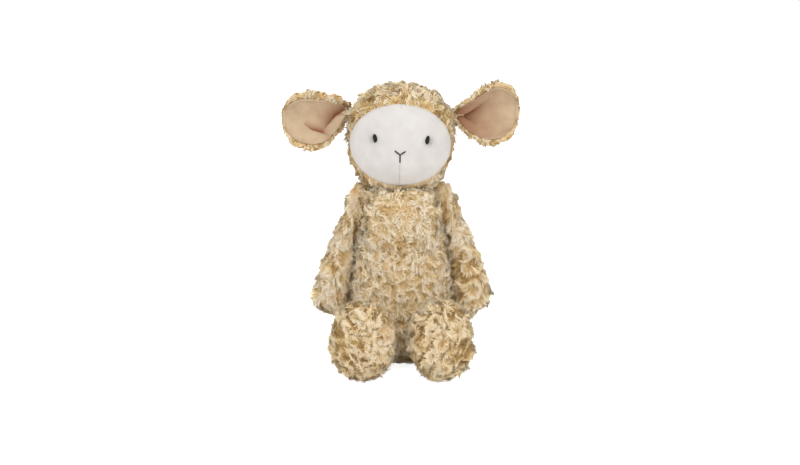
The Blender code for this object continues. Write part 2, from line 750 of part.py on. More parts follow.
leg_covers, soles, leg_fillings, hip_rings = {}, {}, {}, {}
for word, side in SIDES.items():
    root = hip(side)
    sole_seam = root.y - LEG_LENGTH + SOLE_DEPTH
    shape = {"rings": leg_rings(side), "sides": LIMB_SIDES, "across": X_WAY, "along": Z_WAY}
    mouth = rod("mouth", root, root - X_WAY * side * (LEG_ROOT_RADIUS + OVERRUN), LEG_ROOT_RADIUS / 2)
    slack = ball("slack", root, LEG_ROOT_RADIUS)
    ahead = box("ahead", Vector((-reach, -2 * reach, -reach)), Vector((reach, sole_seam + GAP / 2, reach)))
    behind = box("behind", Vector((-reach, sole_seam - GAP / 2, -reach)), Vector((reach, reach, reach)))
    leg_covers[word] = shell(word + "_leg_cover", [mouth, ahead], FLEECE, floor=0.0, **shape)
    soles[word] = shell(word + "_sole", [behind], FLEECE, floor=0.0, **shape)
    leg_fillings[word] = form(word + "_leg_stuffing", inset=FLEECE + GAP, floor=FLEECE + GAP, **shape)
    combine(leg_fillings[word], [slack], "DIFFERENCE")
    ring_radius = (LEG_ROOT_RADIUS - FLEECE) * cos(pi / LIMB_SIDES) ** 2 - GAP
    hip_rings[word] = seam_ring(word + "_hip_ring", root, ring_radius)
    discard(mouth, slack, ahead, behind)


# The tail: a small fleece drop at the back


def tail_rings():
    rings = []
    for drop, wide in sorted(TAIL_SHARES):
        place = tail_root - Z_WAY * drop * TAIL_LENGTH + Y_WAY * TAIL_SWEEP * drop
        rings.append((place, wide * TAIL_HALF_WIDTH, wide * TAIL_HALF_DEPTH))
    rings.reverse()
    tip = tail_root - Z_WAY * TAIL_LENGTH + Y_WAY * TAIL_SWEEP
    root = root_rings(tail_root, TAIL_ROOT_RADIUS, Z_WAY)
    return [(tip, 0, 0), *rings, *reversed(root)]


tail = form("tail", tail_rings(), SMALL_SIDES)
discard(*sockets)


# What moves with what: each body hangs on an empty at its joint


def hang(name, point, parent, pieces):
    """An empty on the joint, under its parent's, that carries the body's pieces."""
    pivot = bpy.data.objects.new(name + "_pivot", None)
    pivot.location = point - (parent["point"] if parent else Vector())
    bpy.context.collection.objects.link(pivot)
    if parent:
        pivot.parent = parent["pivot"]
    for piece, material in pieces:
        if piece.type == "CURVE":
            for spot in piece.data.splines[0].points:
                spot.co = (*(spot.co.to_3d() - point), 1)
        else:
            piece.data.transform(Matrix.Translation(-point))
            piece.data.shade_smooth()
            piece.data.set_sharp_from_angle(angle=radians(40))
        piece.data.materials.clear()
        piece.data.materials.append(material)
        piece.parent = pivot
    return {"pivot": pivot, "point": point}


torso = hang("torso", Vector(), None, [
    (body_front, fleece), (body_back, fleece), (body_stuffing, filling),
    (bean_pouch, fabric("pouch_cotton", 0.8, 0.79, 0.76, 0.9)),
    (seat_beans, fabric("plastic_beans", 0.55, 0.56, 0.58, 0.5)),
    (back_stitches, thread),
])
hang("tail", tail_root, torso, [(tail, fleece)])
neck_body = hang("neck", neck, torso, [(neck_stuffing, filling)])
neck_ring_body = hang("neck_ring", neck, neck_body, [(neck_thread, thread)])
head = hang("head", neck, neck_ring_body, [
    (head_cover, fleece), (head_stuffing, filling),
    (faces["left"], velour), (faces["right"], velour),
    (eyes["left"], black_plastic), (eyes["right"], black_plastic),
    (washers["left"], clear_plastic), (washers["right"], clear_plastic),
    *((stitch, black_thread) for stitch in nose.values()),
])
for word, side in SIDES.items():
    ear_point = ear_root(side)
    knot_body = hang(word + "_ear_knot", ear_point, head, [(ear_knots[word], thread)])
    hang(word + "_ear", ear_point, knot_body, [(ear_backs[word], fleece), (ear_linings[word], lining)])
    arm_point = shoulder(side)
    ring_body = hang(word + "_shoulder", arm_point, torso, [(shoulder_rings[word], thread)])
    hang(word + "_arm", arm_point, ring_body, [(arm_covers[word], fleece), (arm_fillings[word], filling)])
    leg_point = hip(side)
    ring_body = hang(word + "_hip", leg_point, torso, [(hip_rings[word], thread)])
    hang(word + "_leg", leg_point, ring_body, [
        (leg_covers[word], fleece), (soles[word], fleece), (leg_fillings[word], filling),
    ])
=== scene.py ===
"""A seated plush sheep: curly fleece on stuffed, sewn covers, a velour face and lined ears."""

import json
from math import cos, pi, radians, sin, tanh

import bmesh
import bpy
import numpy as np
from mathutils import Euler, Matrix, Vector, noise


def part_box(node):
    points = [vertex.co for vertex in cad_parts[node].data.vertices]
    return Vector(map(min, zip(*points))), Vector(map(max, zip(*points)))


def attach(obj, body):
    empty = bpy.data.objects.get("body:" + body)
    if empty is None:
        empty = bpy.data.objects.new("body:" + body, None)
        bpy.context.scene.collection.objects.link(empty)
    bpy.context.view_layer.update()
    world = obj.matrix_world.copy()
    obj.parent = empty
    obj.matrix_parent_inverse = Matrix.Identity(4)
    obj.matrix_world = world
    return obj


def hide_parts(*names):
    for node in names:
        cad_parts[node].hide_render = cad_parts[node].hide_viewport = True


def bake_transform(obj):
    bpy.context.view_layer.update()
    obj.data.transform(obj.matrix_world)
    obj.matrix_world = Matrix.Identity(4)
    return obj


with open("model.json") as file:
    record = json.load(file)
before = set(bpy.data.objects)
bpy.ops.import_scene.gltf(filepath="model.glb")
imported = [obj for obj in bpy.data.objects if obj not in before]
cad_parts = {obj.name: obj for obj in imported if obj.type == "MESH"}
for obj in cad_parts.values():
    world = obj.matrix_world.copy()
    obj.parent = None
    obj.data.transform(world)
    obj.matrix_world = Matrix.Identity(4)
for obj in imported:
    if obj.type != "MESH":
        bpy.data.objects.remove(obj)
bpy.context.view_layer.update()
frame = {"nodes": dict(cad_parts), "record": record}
MM = 0.001

# The view of the photograph: a long lens at the height of the chest, looking down a little.
# The photo is 800 pixels wide and one pixel is one millimetre at the toy.
PHOTO_WIDTH = 800 * MM
CAMERA_AIM = Vector((-2.0 * MM, 0, 129.5 * MM))
CAMERA_DISTANCE = 1500 * MM
CAMERA_RISE = radians(8)


def add_object(name, data):
    """An object in the scene that shows the data."""
    made = bpy.data.objects.new(name, data)
    bpy.context.collection.objects.link(made)
    return made


camera = add_object("camera", bpy.data.cameras.new("camera"))
camera.data.sensor_width = 36
camera.data.lens = camera.data.sensor_width * CAMERA_DISTANCE / PHOTO_WIDTH
camera.location = CAMERA_AIM + CAMERA_DISTANCE * Vector((0, -cos(CAMERA_RISE), sin(CAMERA_RISE)))
camera.rotation_euler = (pi / 2 - CAMERA_RISE, 0, 0)
bpy.context.scene.camera = camera
bpy.context.scene.view_settings.view_transform = "Standard"


# The studio: a pale sweep that goes white to the camera, under wide soft lamps.
# The lamps and the world together light a surface at about the level of its own colour.
SKY_LEVEL = 0.8
SKY_TINT = (1.0, 0.98, 0.945, 1)
WHITE = (1, 1, 1, 1)
FLOOR_GLOW = 0.88
LAMPS = {
    # name: (place in metres, size in metres, watts)
    "key_lamp": ((-1.1, -1.7, 1.9), 1.6, 20),
    "fill_lamp": ((1.5, -1.8, 0.8), 1.8, 13),
    "back_lamp": ((0.4, 1.8, 1.6), 1.5, 15),
}


def linear(colour):
    """The linear value of an sRGB hex colour."""
    shares = [int(colour[place:place + 2], 16) / 255 for place in (0, 2, 4)]
    return (*(c / 12.92 if c <= 0.04045 else ((c + 0.055) / 1.055) ** 2.4 for c in shares), 1)


def add_node(tree, kind, inputs=(), stops=(), **settings):
    """Adds a node with its settings; an input is a value, or a socket to link from."""
    made = tree.nodes.new(kind)
    for key, value in settings.items():
        setattr(made, key, value)
    for key, value in dict(inputs).items():
        if isinstance(value, bpy.types.NodeSocket):
            tree.links.new(value, made.inputs[key])
        else:
            made.inputs[key].default_value = value
    for place, colour in stops[1:-1]:
        made.color_ramp.elements.new(place)
    for element, (place, colour) in zip(made.color_ramp.elements if stops else (), stops):
        element.position, element.color = place, linear(colour)
    return made


def new_material(name):
    """A material and its node tree, empty."""
    material = bpy.data.materials.new(name)
    material.use_nodes = True
    material.node_tree.nodes.clear()
    return material, material.node_tree


def coat(tree, inputs):
    """Gives a material its surface."""
    made = add_node(tree, "ShaderNodeBsdfPrincipled", inputs)
    add_node(tree, "ShaderNodeOutputMaterial", {"Surface": made.outputs[0]})


def mesh_of(bm, name):
    """A mesh of what the bmesh holds; the bmesh is freed."""
    mesh = bpy.data.meshes.new(name)
    bm.to_mesh(mesh)
    bm.free()
    return mesh


world = bpy.data.worlds.new("studio")
bpy.context.scene.world = world
world.use_nodes = True
tree = world.node_tree
tree.nodes.clear()
seen = add_node(tree, "ShaderNodeLightPath")
sky = add_node(tree, "ShaderNodeBackground", {"Strength": SKY_LEVEL, "Color": SKY_TINT})
blank = add_node(tree, "ShaderNodeBackground", {"Strength": 1, "Color": WHITE})
either = add_node(tree, "ShaderNodeMixShader", {
    0: seen.outputs["Is Camera Ray"], 1: sky.outputs[0], 2: blank.outputs[0],
})
add_node(tree, "ShaderNodeOutputWorld", {"Surface": either.outputs[0]})

bm = bmesh.new()
bmesh.ops.create_grid(bm, x_segments=1, y_segments=1, size=30)
floor = add_object("floor", mesh_of(bm, "floor"))
paper, tree = new_material("white_paper_sweep")
floor.data.materials.append(paper)
seen = add_node(tree, "ShaderNodeLightPath")
glow = add_node(tree, "ShaderNodeMath", {0: seen.outputs["Is Camera Ray"], 1: FLOOR_GLOW},
                operation="MULTIPLY")
coat(tree, {
    "Base Color": linear("f4f4f4"), "Roughness": 0.9, "Specular IOR Level": 0.1,
    "Emission Color": WHITE, "Emission Strength": glow.outputs[0],
})

for name, (place, size, watts) in LAMPS.items():
    lamp = add_object(name, bpy.data.lights.new(name, "AREA"))
    lamp.data.size, lamp.data.energy = size, watts
    lamp.location = place
    lamp.rotation_euler = (CAMERA_AIM - lamp.location).to_track_quat("-Z", "Y").to_euler()


# The torso cover: two panels of curly polyester fleece, sewn at the sides and stuffed.
# Its knitted backing is blown out by the stuffing, and its pile lies in swirls and tufts.
def shown_piece(name, mesh, material):
    """An object of one material, smooth all over."""
    piece = add_object(name, mesh)
    mesh.materials.clear()
    mesh.materials.append(material)
    mesh.shade_smooth()
    return piece


def stand_in(piece, node, body):
    """Lets a piece stand for a CAD node and ride on its body."""
    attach(piece, body)
    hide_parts(node)


def settle(piece):
    """Makes the piece's modifiers part of its mesh."""
    bpy.context.view_layer.update()
    grown = bpy.data.meshes.new_from_object(piece.evaluated_get(bpy.context.evaluated_depsgraph_get()))
    piece.modifiers.clear()
    piece.data = grown


def even_mesh(piece, cell, rounds=0):
    """Gives the piece an even mesh of cells, smoothed for some rounds."""
    remesh = piece.modifiers.new("even_mesh", "REMESH")
    remesh.mode = "VOXEL"
    remesh.voxel_size = cell
    if rounds:
        piece.modifiers.new("smooth", "SMOOTH").iterations = rounds
    settle(piece)


def relax(bm, verts, rounds):
    """Evens the points out among their neighbours."""
    for _ in range(rounds):
        bmesh.ops.smooth_vert(bm, verts=verts, factor=0.5, use_axis_x=True, use_axis_y=True, use_axis_z=True)


def push_out(bm, how_far):
    """Moves all points along their normals, each as far as how_far says for its place."""
    bm.normal_update()
    for vert, normal in [(vert, vert.normal.copy()) for vert in bm.verts]:
        vert.co += normal * how_far(vert.co)


def keep_largest(bm):
    """Deletes all but the largest of the closed skins, such as the inner walls of hollow solids."""
    left = set(bm.verts)
    groups = []
    while left:
        group, edge = set(), [left.pop()]
        while edge:
            vert = edge.pop()
            group.add(vert)
            for link in vert.link_edges:
                other = link.other_vert(vert)
                if other in left:
                    left.discard(other)
                    edge.append(other)
        groups.append(group)
    groups.sort(key=len)
    for group in groups[:-1]:
        bmesh.ops.delete(bm, geom=list(group), context="VERTS")


# The head's form, which the chest and the arms press against from below.
HEAD_MIDDLE = Vector((-1.5 * MM, -6.0 * MM, 224.7 * MM))
HEAD_HALF = Vector((54.0 * MM, 47.0 * MM, 57.5 * MM))
HEAD_SQUARENESS = 2.3
HEAD_LEAN = radians(2)
lean = Matrix.Translation(HEAD_MIDDLE) @ Matrix.Rotation(HEAD_LEAN, 4, "Y")
unlean = lean.inverted()


def off_head(points, clear=0.0):
    """Points moved out of the head, to at least the clearance from it."""
    flat = points.reshape(-1, 3)
    places = flat @ np.array(unlean.to_3x3()).T + np.array(unlean.translation)
    shares = places / (np.array(HEAD_HALF) + clear)
    depth = (np.hypot(shares[:, 0], shares[:, 1]) ** HEAD_SQUARENESS
             + np.abs(shares[:, 2]) ** HEAD_SQUARENESS) ** (1 / HEAD_SQUARENESS)
    places = places / np.clip(depth, 0.05, 1)[:, None]
    return (places @ np.array(lean.to_3x3()).T + np.array(lean.translation)).reshape(points.shape)


CLOTH_FRAMES = 16


def stuffed_skin(name, nodes, cell, sink, swell, held=lambda point: False, bulges=(), clear=None,
                 simulate=True):
    """One closed cloth skin round the named solids, sunk by the pile's depth and blown out by a simulation.

    held says which points are held by a seam, and swell is the most that a point moves. bulges are rounded
    swells of stuffing (middle, half size), and clear keeps the skin that far off the head.
    """
    bm = bmesh.new()
    for node in nodes:
        bm.from_mesh(frame["nodes"][node].data)
    bmesh.ops.remove_doubles(bm, verts=bm.verts, dist=0.01 * MM)
    for middle, half in bulges:
        for vert in bmesh.ops.create_icosphere(bm, subdivisions=4, radius=1)["verts"]:
            size = sum(abs(share) ** 3 for share in vert.co) ** (1 / 3)
            vert.co = Vector(middle) + Vector([share / size * reach for share, reach in zip(vert.co, half)])
    skin = add_object(name, mesh_of(bm, name))
    even_mesh(skin, cell)
    bm = bmesh.new()
    bm.from_mesh(skin.data)
    bmesh.ops.recalc_face_normals(bm, faces=bm.faces)
    keep_largest(bm)
    relax(bm, bm.verts, 6)
    push_out(bm, lambda place: -sink)
    if clear is not None:
        for vert, place in zip(bm.verts, off_head(np.array([vert.co for vert in bm.verts]), clear)):
            vert.co = place
        relax(bm, bm.verts, 1)
    bm.to_mesh(skin.data)
    bm.free()
    if not simulate:
        return skin
    seams = skin.vertex_groups.new(name="seams")
    seams.add([vert.index for vert in skin.data.vertices if held(vert.co)], 1, "REPLACE")
    cloth = skin.modifiers.new("cloth", "CLOTH")
    cloth.settings.quality = 4
    cloth.settings.mass = 0.3
    cloth.settings.tension_stiffness = cloth.settings.compression_stiffness = 10
    cloth.settings.bending_stiffness = 0.3
    cloth.settings.use_pressure = True
    cloth.settings.uniform_pressure_force = 4
    cloth.settings.effector_weights.gravity = 0
    cloth.settings.vertex_group_mass = "seams"
    for step in range(1, CLOTH_FRAMES + 1):
        bpy.context.scene.frame_set(step)
    blown = skin.evaluated_get(bpy.context.evaluated_depsgraph_get()).data
    for vert, there in zip(skin.data.vertices, [vert.co.copy() for vert in blown.vertices]):
        move = there - vert.co
        vert.co += move * min(1, swell / max(move.length, 0.001 * MM))
    skin.modifiers.clear()
    skin.vertex_groups.clear()
    bpy.context.scene.frame_set(1)
    return skin


def clean_edges(bm):
    """Clears slivers along a cut, and the points where two patches touch at a corner only."""
    bmesh.ops.remove_doubles(bm, verts=bm.verts, dist=0.6 * MM)
    bmesh.ops.dissolve_degenerate(bm, edges=bm.edges, dist=0.1 * MM)
    loose = [True]
    while loose:
        loose = [vert for vert in bm.verts
                 if sum(len(edge.link_faces) < 2 for edge in vert.link_edges) not in (0, 2)]
        bmesh.ops.delete(bm, geom=loose, context="VERTS")


def cut_panel(name, skin, point, way):
    """A copy of the skin that keeps what lies behind the plane; way is the plane's outer side."""
    bm = bmesh.new()
    bm.from_mesh(skin.data)
    bmesh.ops.bisect_plane(bm, geom=bm.verts[:] + bm.edges[:] + bm.faces[:], plane_co=point, plane_no=way,
                           clear_outer=True)
    clean_edges(bm)
    return add_object(name, mesh_of(bm, name))


# One strand of the pile: a three-sided hair, one unit long, in a few lengths that end in a point.
STRAND_STEPS = 3
bm = bmesh.new()
bmesh.ops.create_cone(bm, cap_ends=True, segments=3, radius1=1, radius2=1, depth=1,
                      matrix=Matrix.Translation((0, 0, 0.5)))
rising = [edge for edge in bm.edges if abs(edge.verts[0].co.z - edge.verts[1].co.z) > 0.5]
bmesh.ops.subdivide_edges(bm, edges=rising, cuts=STRAND_STEPS - 1, use_grid_fill=True)
bmesh.ops.pointmerge(bm, verts=[vert for vert in bm.verts if vert.co.z > 0.99], merge_co=(0, 0, 1))
bmesh.ops.triangulate(bm, faces=bm.faces)
bmesh.ops.recalc_face_normals(bm, faces=bm.faces)
bm.verts.index_update()
strand_points = np.array([vert.co for vert in bm.verts])
strand_faces = np.array([[vert.index for vert in face.verts] for face in bm.faces])
bm.free()
strand_rings = np.rint(strand_points[:, 2] * STRAND_STEPS).astype(int)
BACKING = 1.2 * MM
WAVE_COUNT = 28
STRAY_SHARE = 0.05


def unit(vectors):
    """The vectors with a length of one."""
    return vectors / np.maximum(np.linalg.norm(vectors, axis=-1, keepdims=True), 1e-9)


def waves(size, rng, grain=(1, 1, 1)):
    """A smooth random field with swells of the given size: it turns points into their heights and slopes."""
    ways = unit(rng.normal(0, 1, (WAVE_COUNT, 3))) * np.array(grain) * 2 * pi
    ways = ways / (size * rng.uniform(0.75, 1.3, (WAVE_COUNT, 1)))
    starts = rng.uniform(0, 2 * pi, WAVE_COUNT)
    level = (2 / WAVE_COUNT) ** 0.5

    def field(points):
        turns = points @ ways.T + starts
        return np.sin(turns).sum(1) * level, np.cos(turns) @ ways * level

    return field


def crest_of(swell):
    """1 on the crest of a ridge, where the field is near 0, and less and less beside it."""
    return np.exp(-(swell / 0.55) ** 2)


def read_vectors(mesh, what):
    """The places or the normals of a mesh's points, as rows of three."""
    values = np.empty(len(mesh.vertices) * 3)
    mesh.vertices.foreach_get(what, values)
    return values.reshape(-1, 3)


def closed_backing(places, normals, corners):
    """The points, faces and map of a cloth's backing: the skin, its lower side and its open edges' walls."""
    edges = np.vstack([corners[:, [0, 1]], corners[:, [1, 2]], corners[:, [2, 0]]])
    first, sharing = np.unique(np.sort(edges, axis=1), axis=0, return_index=True, return_counts=True)[1:]
    start, end = edges[first[sharing == 1]].T
    under = len(places)
    points = np.vstack([places, places - normals * BACKING])
    faces = np.vstack([
        corners, corners[:, ::-1] + under,
        np.column_stack([end, start, start + under]), np.column_stack([end, start + under, end + under]),
    ])
    tint = 0.42 + 0.15 * np.sin(points @ np.array([400, 250, 330]))
    return points, faces, np.column_stack([tint, 0.16 + 0.05 * np.sin(points[:, 2] * 700)])


def grow_fleece(name, skin, material, strands, seed, length=9.0 * MM, width=0.46 * MM, curl=13.0 * MM,
                relief=2.5 * MM, grain=(1, 1, 1), comb=(0, 0, -0.35), lean_in=0.14, share=None,
                trim=None, partings=(), press=None, tone=0.0):
    """A piece of curly fleece: the skin with the thickness of its backing, and a pile in curled ridges.

    The ridges wander half a curl apart, stretched across the grain, and rise by the relief. The pile leans
    into them and runs along them, lean_in curls at most. comb is the way that all of it leans, and tone how much
    paler it is, each alike or by place. share gives how thick the pile stands at points and trim how long it
    is, partings are points that it falls away from, and press moves points off what the pile is pressed by.
    """
    rng = np.random.default_rng(seed)
    ridges = waves(curl, rng, grain)
    mesh = skin.data
    places = read_vectors(mesh, "co")
    lift = relief * (crest_of(ridges(places)[0]) - 0.4) * (np.minimum(trim(places), 1) if trim else 1)
    places += read_vectors(mesh, "normal") * lift[:, None]
    mesh.vertices.foreach_set("co", (press(places) if press else places).ravel())
    mesh.update()
    mesh.calc_loop_triangles()
    places, normals = read_vectors(mesh, "co"), read_vectors(mesh, "normal")
    corners = np.empty(len(mesh.loop_triangles) * 3, np.int64)
    mesh.loop_triangles.foreach_get("vertices", corners)
    corners = corners.reshape(-1, 3)

    # The roots lie at random on the skin, as many to an area as share says.
    a, b, c = (places[corners[:, i]] for i in range(3))
    weights = np.linalg.norm(np.cross(b - a, c - a), axis=1)
    if share:
        weights = weights * share((a + b + c) / 3, unit(normals[corners].mean(1)))
    room = np.cumsum(weights)
    picked = np.searchsorted(room, (np.arange(strands) + rng.random(strands)) / strands * room[-1])
    picked = np.minimum(picked, len(corners) - 1)
    mix = rng.random((strands, 2))
    mix = np.where(mix.sum(1, keepdims=True) > 1, 1 - mix, mix)
    mix = np.column_stack([1 - mix.sum(1), mix])[:, :, None]
    roots = (places[corners[picked]] * mix).sum(1)
    ups = unit((normals[corners[picked]] * mix).sum(1))

    # The flow of the pile: along the ridges, combed, away from the partings, and astray here and there.
    swell, slope = ridges(roots)
    slope -= (slope * ups).sum(1, keepdims=True) * ups
    steep = np.linalg.norm(slope, axis=1, keepdims=True)
    crest = crest_of(swell)
    pull = -swell[:, None] * slope / (steep**2 + (0.6 / curl) ** 2)
    pull *= np.minimum(1, lean_in * curl / np.maximum(np.linalg.norm(pull, axis=1, keepdims=True), 1e-9))
    bow, bulk, dye, lock = (waves(curl * size, rng)(roots)[0] for size in (1.3, 1.2, 3.0, 0.5))
    flow = np.cross(ups, unit(slope)) + rng.normal(0, 0.12, (strands, 3))
    flow += comb(roots) if callable(comb) else np.array(comb)
    if len(partings):
        gaps = roots[:, None] - np.array(partings)[None]
        close = np.linalg.norm(gaps, axis=2)
        away = gaps[np.arange(strands), close.argmin(1)]
        flow += 2.5 * unit(away) * np.exp(-(close.min(1) / (0.5 * curl)) ** 2)[:, None]
    stray = rng.random(strands) < STRAY_SHARE
    flow += np.where(stray[:, None], rng.normal(0, 0.8, (strands, 3)), 0)
    flow = unit(flow - (flow * ups).sum(1, keepdims=True) * ups)
    aside = np.cross(ups, flow)

    # The strands' paths: each rises from its root, bends with its neighbours and falls at its tip.
    reach = length * (0.62 + 0.42 * crest + 0.14 * bulk) * rng.uniform(0.85, 1.15, strands)
    reach = np.where(stray, length * 1.05, np.clip(reach, 0.45 * length, 1.35 * length))
    reach *= trim(roots) if trim else 1
    rise = 0.95 + 0.12 * crest + rng.normal(0, 0.1, strands)
    fall = -0.3 + 0.2 * bulk + 0.15 * lock + rng.normal(0, 0.15, strands)
    bend = 1.3 * bow + rng.normal(0, 0.2, strands)
    steps = np.linspace(0, 1, STRAND_STEPS + 1)
    paths = np.empty((strands, STRAND_STEPS + 1, 3))
    paths[:, 0] = roots - ups * 0.3 * MM
    for step in range(STRAND_STEPS):
        along = (step + 0.5) / STRAND_STEPS
        lift = rise + (fall - rise) * along
        turn = bend * along + 0.5 * np.sin(2 * pi * along * 1.2 + 3 * bow)
        heading = np.cos(turn)[:, None] * flow + np.sin(turn)[:, None] * aside
        move = np.cos(lift)[:, None] * heading + np.sin(lift)[:, None] * ups
        paths[:, step + 1] = paths[:, step] + move * (reach / STRAND_STEPS)[:, None]
    paths += pull[:, None] * (rng.uniform(0.55, 1.0, (strands, 1)) * steps[None] ** 1.2)[:, :, None]
    if press:
        paths = press(paths)

    ways = unit(np.gradient(paths, axis=1))
    sides = unit(np.cross(ways, ups[:, None]))
    tops = np.cross(ways, sides)
    broad = width * rng.uniform(0.75, 1.3, strands)[:, None] * (1.0 - 0.6 * steps**2.5)[None]
    ring = strand_rings
    round_way = sides[:, ring] * strand_points[None, :, :1] + tops[:, ring] * strand_points[None, :, 1:2] * 0.8
    points = paths[:, ring] + broad[:, ring, None] * round_way
    soft = unit(0.6 * ups[:, None] + 0.5 * round_way)

    # The map: u is how light a strand is, with painted light on the ridges and painted shade in the troughs, and
    # v runs from its root to its tip.
    hue = 0.14 + (tone(roots) if callable(tone) else tone) + 0.11 * dye + 0.7 * crest + 0.12 * lock
    hue += rng.normal(0, 0.08, strands)
    hue = np.clip(hue, 0.08, 0.97)
    rosy = np.where(waves(curl * 2, rng)(roots)[0] + 0.5 * lock > 1.5, 0.5, 0.0)
    spot_u = hue[:, None] + 0.012 * strand_points[None, :, 0]
    spot_v = rosy[:, None] + 0.04 + 0.42 * steps[ring][None] + 0.008 * strand_points[None, :, 1]
    spots = np.stack([spot_u, spot_v], axis=-1)

    base_points, base_faces, base_spots = closed_backing(places, normals, corners)
    faces = strand_faces[None] + (np.arange(strands) * len(strand_points))[:, None, None] + len(base_points)
    faces = np.vstack([base_faces, faces.reshape(-1, 3)])
    grown = bpy.data.meshes.new(name)
    grown.from_pydata(np.vstack([base_points, points.reshape(-1, 3)]), [], faces)
    layer = grown.uv_layers.new(name="OFBake")
    spots = np.vstack([base_spots, spots.reshape(-1, 2)])[faces.ravel()]
    layer.uv.foreach_set("vector", spots.astype(np.float32).ravel())
    piece = shown_piece(name, grown, material)
    # The pile scatters light, so a strand is shaded more by the way the cloth faces than by its own round.
    grown.normals_split_custom_set_from_vertices(np.vstack([np.zeros_like(base_points), soft.reshape(-1, 3)]))
    bpy.data.objects.remove(skin)
    return piece


# Crimped polyester pile: matt, cream at its tips, tan at its roots, partly its own colour and partly painted
# shade deep in the pile, with rosy tufts among it. The map's u is how light a strand is, with painted light on
# the ridges, and v runs from root to tip, in the lower half for cream strands, else for rosy ones.
fleece, tree = new_material("curly_polyester_fleece")
spot = add_node(tree, "ShaderNodeSeparateXYZ", {
    0: add_node(tree, "ShaderNodeUVMap", uv_map="OFBake").outputs[0],
})
hue = add_node(tree, "ShaderNodeValToRGB", {0: spot.outputs["X"]}, stops=[
    (0.0, "8c6c43"), (0.1, "c4a36f"), (0.22, "e4c896"), (0.4, "f6e0b4"), (0.6, "feebc8"), (0.8, "fff1d6"),
    (1.0, "fff5e1"),
])
# The roots' tan is partly the pile's own colour and partly painted shade deep in the pile.
depth = add_node(tree, "ShaderNodeValToRGB", {0: spot.outputs["Y"]}, stops=[
    (0.02, "d8c4a4"), (0.16, "efe6d6"), (0.3, "fcfaf6"), (0.48, "ffffff"),
    (0.52, "d6bb98"), (0.66, "eedcc6"), (0.8, "fbeee2"), (0.98, "fff5ec"),
])
colour = add_node(tree, "ShaderNodeMix", {0: 1, 6: hue.outputs[0], 7: depth.outputs[0]},
                  data_type="RGBA", blend_type="MULTIPLY")
coat(tree, {
    "Base Color": colour.outputs[2], "Roughness": 0.85, "Specular IOR Level": 0.25,
    "Sheen Weight": 0.5, "Sheen Roughness": 0.4, "Sheen Tint": linear("fbe4b8"),
})

SEAM_BACK = 8.0 * MM
PILE_SINK = 2.2 * MM
CHEST_BULGE = ((0, -21 * MM, 146 * MM), (37 * MM, 24 * MM, 36 * MM))
NAPE_BULGE = ((0, 8 * MM, 149 * MM), (33 * MM, 21 * MM, 22 * MM))
FLANK_BULGES = [((side * 44 * MM, 8 * MM, 62 * MM), (10.5 * MM, 16 * MM, 20 * MM)) for side in (-1, 1)]


def off_seat(points, clear=1.0 * MM, crush=3.0 * MM):
    """Points raised off what the toy sits on; the lowest of the pile is crushed rather than cut."""
    raised = points.copy()
    low = np.minimum(points[..., 2] - clear - crush, 0)
    raised[..., 2] = np.where(low < 0, clear + crush * np.exp(low / crush), points[..., 2])
    return raised


def torso_comb(points):
    """The pile of the torso falls down, but under its seat and under the chin it is turned forward and up."""
    upward = (points[:, 2:3] < 25 * MM) | (points[:, 2:3] > 158 * MM)
    return np.where(upward, (0, -0.5, 0.5), (0, 0, -0.35))


def torso_trim(points):
    """The pile of the torso is longest at its sides, behind the arms, where nothing rubs it short."""
    beside = np.clip((np.abs(points[:, 0]) - 26 * MM) / (10 * MM), 0, 1)
    behind = np.clip((points[:, 1] + 12 * MM) / (8 * MM), 0, 1)
    return 1 + beside * behind * np.interp(points[:, 2] / MM, (45, 52, 75, 125, 140), (0, 0.8, 0.6, 0.4, 0.1))


def arm_fold(up):
    """How far out the fold between the torso and an arm lies, at heights in metres."""
    return np.interp(up / MM, (71, 139, 156, 172), (51, 41.5, 37, 30.5)) * MM


def torso_tone_and_painted_shade(points):
    """The torso's pile is painted darker in the folds, a painted shade: a short one under the chin, and those
    beside the arms.
    """
    across, depth, up = (points / MM).T
    fold = np.exp(-((across - 6) / 9) ** 2 - ((up - 172) / 3.5) ** 2) * (depth < 0)
    beside = np.clip((np.abs(points[:, 0]) - arm_fold(points[:, 2])) / (3 * MM) + 1, 0, 1)
    beside *= np.abs(up - 115) < 60
    return 0.19 - 0.3 * fold - 0.28 * beside


def torso_share(points, ups):
    """The pile of the torso is thickest beside the arms, so that nothing shows through between them."""
    return 1 + 1.5 * (torso_trim(points) > 1.2)


torso_skin = stuffed_skin(
    "torso_skin", ["body_front", "body_back", "body_stuffing"], 3.6 * MM, PILE_SINK, 2.0 * MM,
    held=lambda point: abs(point.y - SEAM_BACK) < 2.0 * MM or point.z < 3 * MM or point.z > 156 * MM,
    bulges=(CHEST_BULGE, NAPE_BULGE, *FLANK_BULGES), clear=2.0 * MM,
)
front_skin = cut_panel("front_skin", torso_skin, (0, SEAM_BACK, 0), (0, 1, 0))
back_skin = cut_panel("back_skin", torso_skin, (0, SEAM_BACK, 0), (0, -1, 0))
bpy.data.objects.remove(torso_skin)
chest_parting = [(sin(step * 0.9) * 2.5 * MM, -42 * MM, (158 - 6 * step) * MM) for step in range(9)]
front_fleece = grow_fleece(
    "torso_front_fleece", front_skin, fleece, 18500, seed=11, curl=14 * MM, relief=3.0 * MM, comb=torso_comb,
    trim=torso_trim, tone=torso_tone_and_painted_shade, share=torso_share, partings=chest_parting,
    press=lambda points: off_head(off_seat(points, 3.0 * MM)),
)
back_fleece = grow_fleece(
    "torso_back_fleece", back_skin, fleece, 9000, seed=12, curl=14 * MM, width=0.52 * MM, tone=0.17,
    press=lambda points: off_head(off_seat(points)),
)
stand_in(front_fleece, "body_front", "torso")
stand_in(back_fleece, "body_back", "torso")


# The tail: a small closed drop of the same fleece, stuffed and sewn on at its top.
tail_skin = stuffed_skin("tail_skin", ["tail"], 2.0 * MM, 1.5 * MM, 0.8 * MM)
tail = grow_fleece("tail_fleece", tail_skin, fleece, 1700, seed=13, length=8 * MM, curl=9 * MM,
                   relief=0.8 * MM)
stand_in(tail, "tail", "tail")


